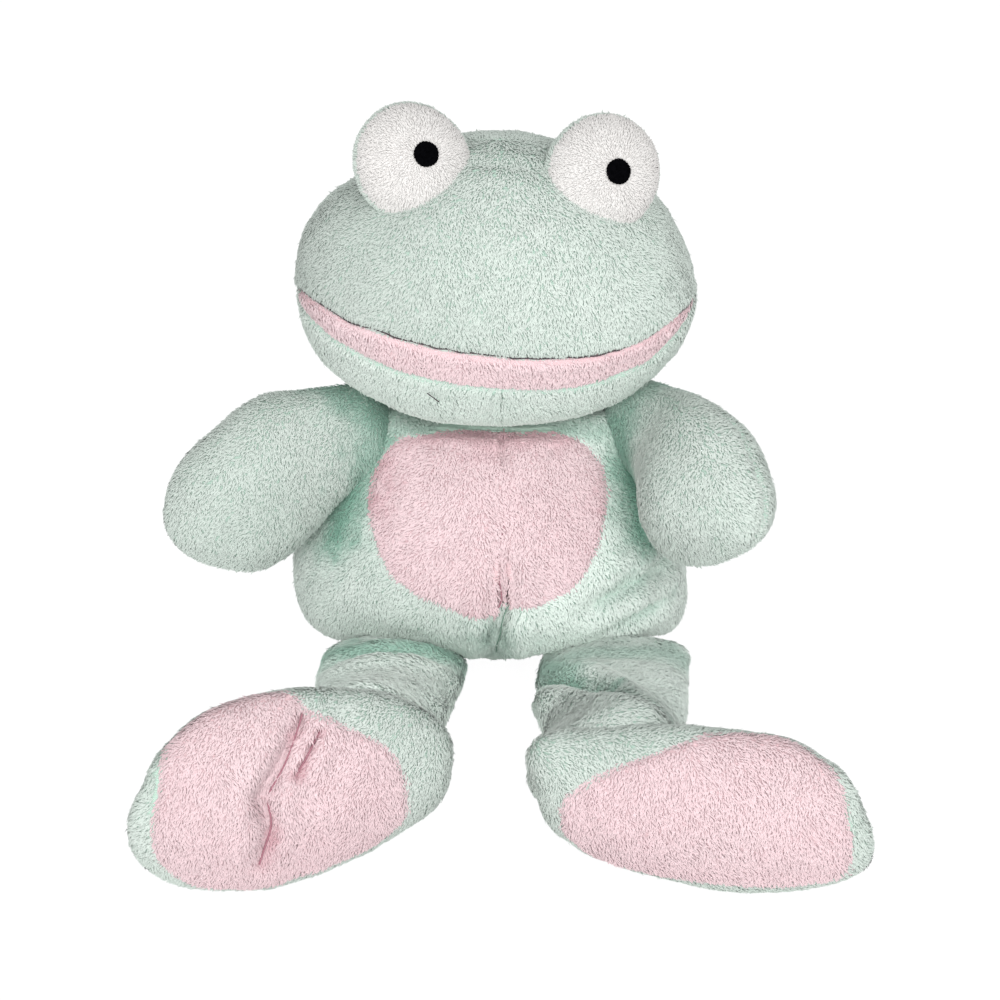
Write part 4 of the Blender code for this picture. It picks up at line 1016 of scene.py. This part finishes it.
def sculpt_foot(grid, side):
    if side < 0:
        long_fold = ((-68.5, -169, 66), (-74.5, -181, 56), (-82, -187, 44), (-79, -188, 33),
                     (-83.5, -189, 17))
        short_fold = ((-62.5, -171, 61), (-66.5, -177, 55), (-70, -181, 50))
        grid.crease((long_fold, (2.4, 4.6, 5.2, 4.4, 1.6), 3.8), (short_fold, (1.0, 3.2, 1.2), 3.0))
        grid.seam(long_fold, 2.6, 1.3, 0.5)
        grid.seam(short_fold, 2.0, 1.1, 0.3)
        # Painted shade in the sole's two folds
        grid.paint_shade((long_fold, 1.0, 2.2), (short_fold, 1.0, 1.9))
        grid.push(
            ((-92, -188, 40), (0, -3, 0.5), 22), ((-26, -154, 16), (3, 0, 0), 16),
            ((-127, -185, 50), (5, 0, -1.2), 14), ((-114, -178, 64), (2.2, -0.8, -1.4), 12),
            ((-21, -148, 41), (2.4, 0.3, 0.4), 12), ((-56, -178, 34), (0, -2.5, 0), 20))
    else:
        grid.push(
            ((78, -186, 32), (0, -2, 0), 26), ((15, -160, 38), (-3, 0, 6.5), 16),
            ((6, -160, 30), (5.2, 0, 0), 15), ((97, -171, 55), (1, 0.5, 1), 14),
            ((126, -183, 37), (-3.2, 0.2, -0.5), 12), ((125, -187, 14), (1.6, -0.4, -0.4), 12),
            ((112, -182, 54), (-1, 0, -1), 20))
        grid.crease((((34, -174, 47), (42, -178, 38), (46, -180, 28)), (0.3, 1.0, 0.3), 5.0))
    return grid.lumps(1.0, 20.0, 61).lumps(0.35, 8.0, 62)


# ---------------------------------------------------------------- pieces

def panel(name, look, grid, chosen, body, flow, length, keep=None, filling=None, blend=None, **pile):
    """A cloth panel with its pile, in the place of the CAD's panel of that name and of a filling under it."""
    cloth, fibre, slot = LOOKS[look]
    skin = shell(name + "_cloth", grid, chosen, cloth)
    fur = tufts(name + "_pile", grid, chosen, fibre, flow, length, keep, **pile)
    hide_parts(name, *((filling,) if filling else ()))
    for piece in [skin] + fur:
        if blend is None:
            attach(piece, body)
        else:
            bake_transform(piece)


def steady(x, y, z):
    """Pile that lies the same way everywhere."""
    direction = np.array((x, y, z), float)
    return lambda points: np.broadcast_to(direction, points.shape)


def freedom(points):
    """How freely pile hangs down: 0 at the floor, 1 from a little above it."""
    return np.clip(points[:, 2] / PILE_FREE, 0.0, 1.0)


def refined(line, steps):
    """A line of points cut into more steps."""
    at = np.linspace(0.0, len(line) - 1.0, steps * len(line))
    return np.stack([np.interp(at, np.arange(len(line)), line[:, k]) for k in range(3)], axis=1)


def laid(grid, line, lift):
    """A line laid down on the skin of a grid, then raised by the lift."""
    line = refined(line, 14)
    skin, normals = grid.points.reshape(-1, 3), grid.normals.reshape(-1, 3)
    away = np.linalg.norm(skin[None] - line[:, None], axis=2)
    nearest = np.argsort(away, axis=1)[:, :10]
    away = np.take_along_axis(away, nearest, axis=1)
    share = np.exp(-((away - away[:, :1]) / (0.7 * MM)) ** 2)
    share = (share / share.sum(axis=1, keepdims=True))[..., None]
    found = ((skin[nearest] + normals[nearest] * lift) * share).sum(axis=1)
    for _ in range(40):
        found[1:-1] = (found[:-2] + found[1:-1] * 2.0 + found[2:]) / 4.0
    return found


def sew(name, line, radius, body, thread=SEAM_THREAD_AND_SHADE):
    """A sewing thread, or a dark cord of painted shade, drawn tight along a line, closed at both ends."""
    along = unit(np.gradient(line, axis=0))
    side = unit(np.cross(along, np.array((0.0, -1.0, 0.2))))
    rise = np.cross(side, along)
    turn = circle(8)
    ring = np.cos(turn)[:, None] * side[:, None] + np.sin(turn)[:, None] * rise[:, None]
    grid = capped(line[0], line[:, None] + ring * radius, line[-1])
    piece = shell(name, grid, grid.cells(), thread, radius * 0.4)
    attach(piece, body)


def build_torso():
    grid = sculpt_torso(torso_grid().inset(INSET)).clamp(FLOOR_CLEAR, TORSO_HEIGHT - FLAT_DEPTH)
    edge = closed_curve(PATCH_OUTLINE, 120) - PATCH_CENTRE

    def covered(points, share):
        return (points[:, 1] < 0.0) & inside(points[:, [0, 2]], PATCH_CENTRE + edge * share)

    def bare(points):
        return ~covered(points, 0.97)

    def fall(points):
        free = freedom(points)
        return np.stack([points[:, 0] * 4.0, 0.3 * (free - 1.0), -free], axis=1)

    grid.sink(covered(grid.points.reshape(-1, 3), 0.9).reshape(grid.rows, -1))
    half, front, rows = grid.columns // 2, grid.columns * 3 // 4, (SEAT_ROWS, None)
    back = grid.cells((0, half), rows) | grid.cells(rows=(0, SEAT_ROWS))
    panel("torso_back_and_seat", "mint", grid, back, "torso", fall, 2.9, filling="torso_filling")
    # The tone is painted light: the right front of the torso lighter
    for name, columns, tone in (("torso_front_left", (half, front), 1.02),
                                ("torso_front_right", (front, None), 1.18)):
        panel(name, "mint", grid, grid.cells(columns, rows), "torso", fall, 2.9, bare, tone=tone)

    patch = sculpt_torso(patch_grid(PATCH_OUTLINE, PATCH_CENTRE, belly_surface, (0.0, -1.0, 0.0))).lower_rim()
    middle = (patch.points[:-1, :, 0] + np.roll(patch.points, -1, axis=1)[:-1, :, 0]) / 2.0
    left_half = middle < BELLY_SEAM_X
    seam = patch.seams[0][0]
    # The belly and crotch seam threads are partly real thread and partly painted shade, dark lines in the
    # seams' grooves
    sew("belly_seam_thread", laid(patch, seam[2:6], 0.3 * MM), 0.26 * MM, "torso", ROSE_THREAD_AND_FOLD_SHADE)
    sew("crotch_seam_thread", laid(grid, seam[4:], 0.3 * MM), 0.26 * MM, "torso", SAGE_THREAD_AND_SEAM_SHADE)
    panel("belly_patch_left", "pink", patch, left_half, "torso", fall, 2.7)
    panel("belly_patch_right", "pink", patch, ~left_half, "torso", fall, 2.7)


def build_head():
    grid = sculpt_head(head_grid().inset(INSET)).clamp(NECK_Z + FLAT_DEPTH)
    low, top, crown, nape, end = HEAD_COLUMNS
    middle = grid.rows // 2

    def parted(spread, back, down):
        """Pile that falls from the middle of the head to both sides."""
        return lambda points: np.stack([(points - HEAD_CENTRE)[:, 0] * spread, np.full(len(points), back),
                                        np.full(len(points), down)], axis=1)

    # Painted shade: the tone darkens the face, less towards +X, and the back of the head and the mouth band a
    # little
    def face_painted_shade(points):
        return 0.885 + 0.1 * np.clip(points[:, 0] / HEAD_HALF_WIDTH, -1.0, 1.0)

    panel("face_upper", "mint", grid, grid.cells((top, crown)), "head", parted(9.0, 0.0, -0.9), 2.7,
          filling="head_filling", tone=face_painted_shade)
    panel("head_back", "mint", grid, grid.cells((crown, nape)), "head", parted(5.0, 0.4, -0.8), 2.9,
          tone=0.93)
    panel("mouth_band", "pink", grid, grid.cells((low, top)), "head", steady(0.1, -0.1, -1.0), 2.5, tone=0.94)
    for word, rows, lean in (("left", (0, middle), -0.3), ("right", (middle, None), 0.3)):
        panel("chin_" + word, "mint", grid, grid.cells((nape, end), rows), "head",
              steady(lean, 0.0, -1.0), 2.7)

    # The mouth seam's dark cord is partly real thread and partly painted shade of the seam's fold
    seam = refined(grid.points[3:-3, top] + grid.normals[3:-3, top] * 1.6 * MM, 6)
    waver = np.zeros_like(seam)
    waver[:, 1] = 0.9 * noise(seam, 6.0 * MM, 74) * MM * 0.7
    waver[:, 2] = 0.5 * noise(seam, 4.0 * MM, 75) * MM
    sew("mouth_seam_thread", seam + waver, 0.28 * MM, "head")
    row = np.argmin(np.abs(grid.points[:, low, 0] - STRAY_X))
    stray = grid.points[row:row + 3, end - 3] + grid.normals[row:row + 3, end - 3] * 1.7 * MM
    stray = stray + np.array((0.0, 0.0, -1.3 * MM)) * np.arange(3)[:, None]
    sew("chin_loose_thread", stray, 0.22 * MM, "head")


def build_eye(side, word):
    grid = eye_grid(side).inset(INSET * 0.8)
    x, y, z = EYE_CENTRES[side] / MM
    grid.push(((x + 4.0 * side, y + 6.0, z + 18.0), (0.6 * side, 0.5, 1.6), 16),
              ((x + 17.0 * side, y + 2.0, z + 10.0), (1.0 * side, 0.2, 0.5), 12))
    grid.lumps(0.3, 10.0, 41)
    forward, across, up = eye_basis()
    right, rise = PUPIL_OFFSETS[side]
    centre = EYE_CENTRES[side] + across * right + up * rise + forward * EYE_HALF_DEPTH

    def outwards(points):
        return points - centre

    def clear_of_pupil(points):
        away = points - centre
        away = away - np.outer(away @ forward, forward)
        return np.linalg.norm(away, axis=1) > PUPIL_RADIUS * 0.86

    white = grid.cells(rows=(0, WHITE_ROWS))
    # tone=0.95 is painted shade: the eye's white pile a little darker
    panel("eye_white_" + word, "white", grid, white, "head", outwards, 2.1, clear_of_pupil,
          filling="eye_filling_" + word, width=0.46, density=1.4, tone=0.95)
    panel("eye_back_" + word, "mint", grid, ~white, "head", steady(*-forward), 2.6)
    build_pupil(side, word, forward, across, up)


def build_pupil(side, word, forward, across, up, rings=26, columns=120):
    """A satin-stitched disc: threads laid side by side, with a padded edge."""
    turn = circle(columns)[None]
    share = np.linspace(0.0, 1.0, rings)[:, None]
    ragged = (1.0 + 0.012 * np.sin(turn * 5.0 + side) + 0.02 * np.sin(turn * 23.0)
              + 0.015 * np.sin(turn * 41.0 + 1.0))
    radius = PUPIL_RADIUS * share * ragged
    x, z = radius * np.cos(turn), radius * np.sin(turn)
    right, rise = PUPIL_OFFSETS[side][0] + x, PUPIL_OFFSETS[side][1] + z
    bulge = np.sqrt(np.clip(1.0 - (right ** 2 + rise ** 2) / EYE_RADIUS ** 2, 0.0, 1.0))
    threads = np.abs(np.sin((x * 0.94 + z * 0.34) / (0.42 * MM) * math.pi))
    lift = 0.9 * MM * np.sqrt(np.clip(1.0 - share ** 6, 0.0, 1.0)) + 0.22 * MM * threads * (1.0 - share ** 8)
    front = (EYE_CENTRES[side] + right[..., None] * across + rise[..., None] * up
             + (EYE_HALF_DEPTH * bulge + lift - 0.5 * MM)[..., None] * forward)
    disc = Grid(front, last_pole=False, outward=forward)
    piece = shell("pupil_" + word + "_embroidery", disc, disc.cells(), BLACK_THREAD)
    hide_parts("pupil_" + word)
    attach(piece, "head")


def build_arm(side, word):
    grid = sculpt_arm(arm_grid(side).inset(INSET), side)
    half = grid.columns // 2
    root, square = SHOULDERS[side], shoulder_frame(side)[3]
    bend = (tuple(root - square * 6.0 * MM), tuple(root + square * 12.0 * MM))
    # The tone is painted shade: the arms' pile darker, the left arm a little more
    nap, tone = steady(0.5 * side, 0.0, -0.85), 0.9 + 0.02 * side
    panel("arm_front_" + word, "mint", grid, grid.cells((0, half)), "arm_" + word, nap, 2.8,
          filling="arm_filling_" + word, blend=bend, tone=tone)
    panel("arm_back_" + word, "mint", grid, grid.cells((half, None)), "arm_" + word, nap, 2.8, blend=bend,
          tone=tone)


def build_leg(side, word):
    grid = sculpt_leg(leg_grid(side).inset(INSET), side).clamp(FLOOR_CLEAR)
    half = grid.columns // 2
    x, y, z = HIPS[side]
    bend = ((x, y + 6.0 * MM, z), (x, y - 14.0 * MM, z))
    nap = steady(1.0 * side, -0.25, -0.3)

    # Painted light and shade: the tone makes the legs' pile lighter, the right one darker towards the foot
    def tone(points):
        low = smooth((-points[:, 1] / MM - 100.0) / 25.0)
        return (1.22 - 0.37 * low) if side > 0 else np.full(len(points), 1.27)

    panel("leg_top_" + word, "mint", grid, grid.cells((0, half)), "leg_" + word, nap, 2.9,
          filling="leg_filling_" + word, blend=bend, tone=tone)
    panel("leg_under_" + word, "mint", grid, grid.cells((half, None)), "leg_" + word, nap, 2.9, blend=bend,
          tone=tone)


def build_foot(side, word):
    grid = sculpt_foot(foot_grid(side).inset(INSET), side).clamp(FLOOR_CLEAR)
    centre, toe, out = foot_frame(side)[:3]
    edge = closed_curve(SOLE_OUTLINES[side], 120)
    grid.sink(inside(sole_place(side, grid.points.reshape(-1, 3)), edge * 0.88).reshape(grid.rows, -1))

    def bare(points):
        return ~inside(sole_place(side, points), edge * 0.965)

    def hanging(forward, down):
        """Pile that lies towards the toe, and down where it hangs free."""
        return lambda points: toe * forward + freedom(points)[:, None] * np.array((0.0, 0.0, down))

    # Painted shade: the foot's pile darker, the left sole more so towards the toe
    def sole_painted_shade(points):
        return 0.865 + min(side, 0) * 0.045 * ((points - centre) @ toe / FOOT_HALF_LENGTH[side])

    panel("foot_upper_" + word, "mint", grid, grid.cells(), "foot_" + word, hanging(0.8, -0.6), 2.8, bare,
          filling="foot_filling_" + word, tone=0.86)
    sole = patch_grid(SOLE_OUTLINES[side], np.zeros(2), lambda places: sole_surface(side, places), out)
    sculpt_foot(sole, side).clamp(FLOOR_CLEAR).lower_rim().clamp(FLOOR_CLEAR)
    panel("foot_sole_" + word, "pink", sole, sole.cells(), "foot_" + word, hanging(0.3, -1.0), 2.7,
          tone=sole_painted_shade)
    if side < 0:
        # Painted shade: dark cords laid along the left sole's two folds
        for (line, _), fold in zip(sole.seams, ("long", "short")):
            line = laid(sole, line, 0.9 * MM)
            sew("foot_sole_left_painted_fold_shade_" + fold, line, 0.30 * MM, "foot_left", ROSE_THREAD_AND_FOLD_SHADE)


# ---------------------------------------------------------------- surroundings

def place(name, data, location, turn):
    item = bpy.data.objects.new(name, data)
    item.location, item.rotation_euler = location, turn
    bpy.context.scene.collection.objects.link(item)
    return item


def build_surroundings():
    lens = bpy.data.cameras.new("camera")
    lens.sensor_width = 36.0
    lens.lens = 36.0 * CAMERA_DISTANCE / CAMERA_WIDTH
    lens.clip_start = 0.01
    back = Vector((0.0, -math.cos(CAMERA_ELEVATION), math.sin(CAMERA_ELEVATION)))
    bpy.context.scene.camera = place("camera", lens, Vector(CAMERA_AIM) + CAMERA_DISTANCE * back,
                                     (math.pi / 2.0 - CAMERA_ELEVATION, 0.0, 0.0))

    for name, spot, power in (("key", (0.35, -1.25, 0.95), 11.0), ("fill", (-0.50, -1.45, 0.55), 8.0)):
        lamp = bpy.data.lights.new(name, "AREA")
        lamp.energy = power
        lamp.size = LAMP_SIZE
        aim = Vector(LAMP_AIM) - Vector(spot)
        place(name, lamp, spot, aim.to_track_quat("-Z", "Y").to_euler())

    world = bpy.data.worlds.new("studio")
    bpy.context.scene.world = world
    made = Nodes(world)
    light = made.tree.nodes["Background"]
    made.fill(light, {"Color": WHITE, "Strength": WORLD_LIGHT})
    white = made.add("Background", {"Color": WHITE, "Strength": 1.0})
    shown = made.mix_shader(made.seen_rays(), light.outputs[0], white.outputs[0])
    made.fill(made.tree.nodes["World Output"], {"Surface": shown})

    # The floor takes the object's shadow, but the camera sees mostly the white behind it
    floor_data = bpy.data.meshes.new("floor")
    corners = [(x * FLOOR_REACH, y * FLOOR_REACH, 0.0) for x, y in ((-1, -1), (1, -1), (1, 1), (-1, 1))]
    floor_data.from_pydata(corners, [], [(0, 1, 2, 3)])
    paint = bpy.data.materials.new("floor_paint")
    made = Nodes(paint)
    shader = made.tree.nodes["Principled BSDF"]
    made.fill(shader, {"Base Color": (0.90, 0.90, 0.90), "Roughness": 0.9})
    clear = made.add("BsdfTransparent", {})
    glow = made.add("Emission", {"Color": WHITE, "Strength": 0.08})
    clear = made.add("AddShader", {0: clear.outputs[0], 1: glow.outputs[0]})
    share = made.math("MULTIPLY", made.seen_rays(), FLOOR_CLEARNESS)
    shown = made.mix_shader(share, shader.outputs[0], clear.outputs[0])
    made.fill(made.tree.nodes["Material Output"], {"Surface": shown})
    link("floor", floor_data, paint)


build_surroundings()
build_torso()
build_head()
for side_of, word_of in ((-1, "left"), (1, "right")):
    build_eye(side_of, word_of)
    build_arm(side_of, word_of)
    build_leg(side_of, word_of)
    build_foot(side_of, word_of)

bpy.context.scene.view_settings.view_transform = "Standard"
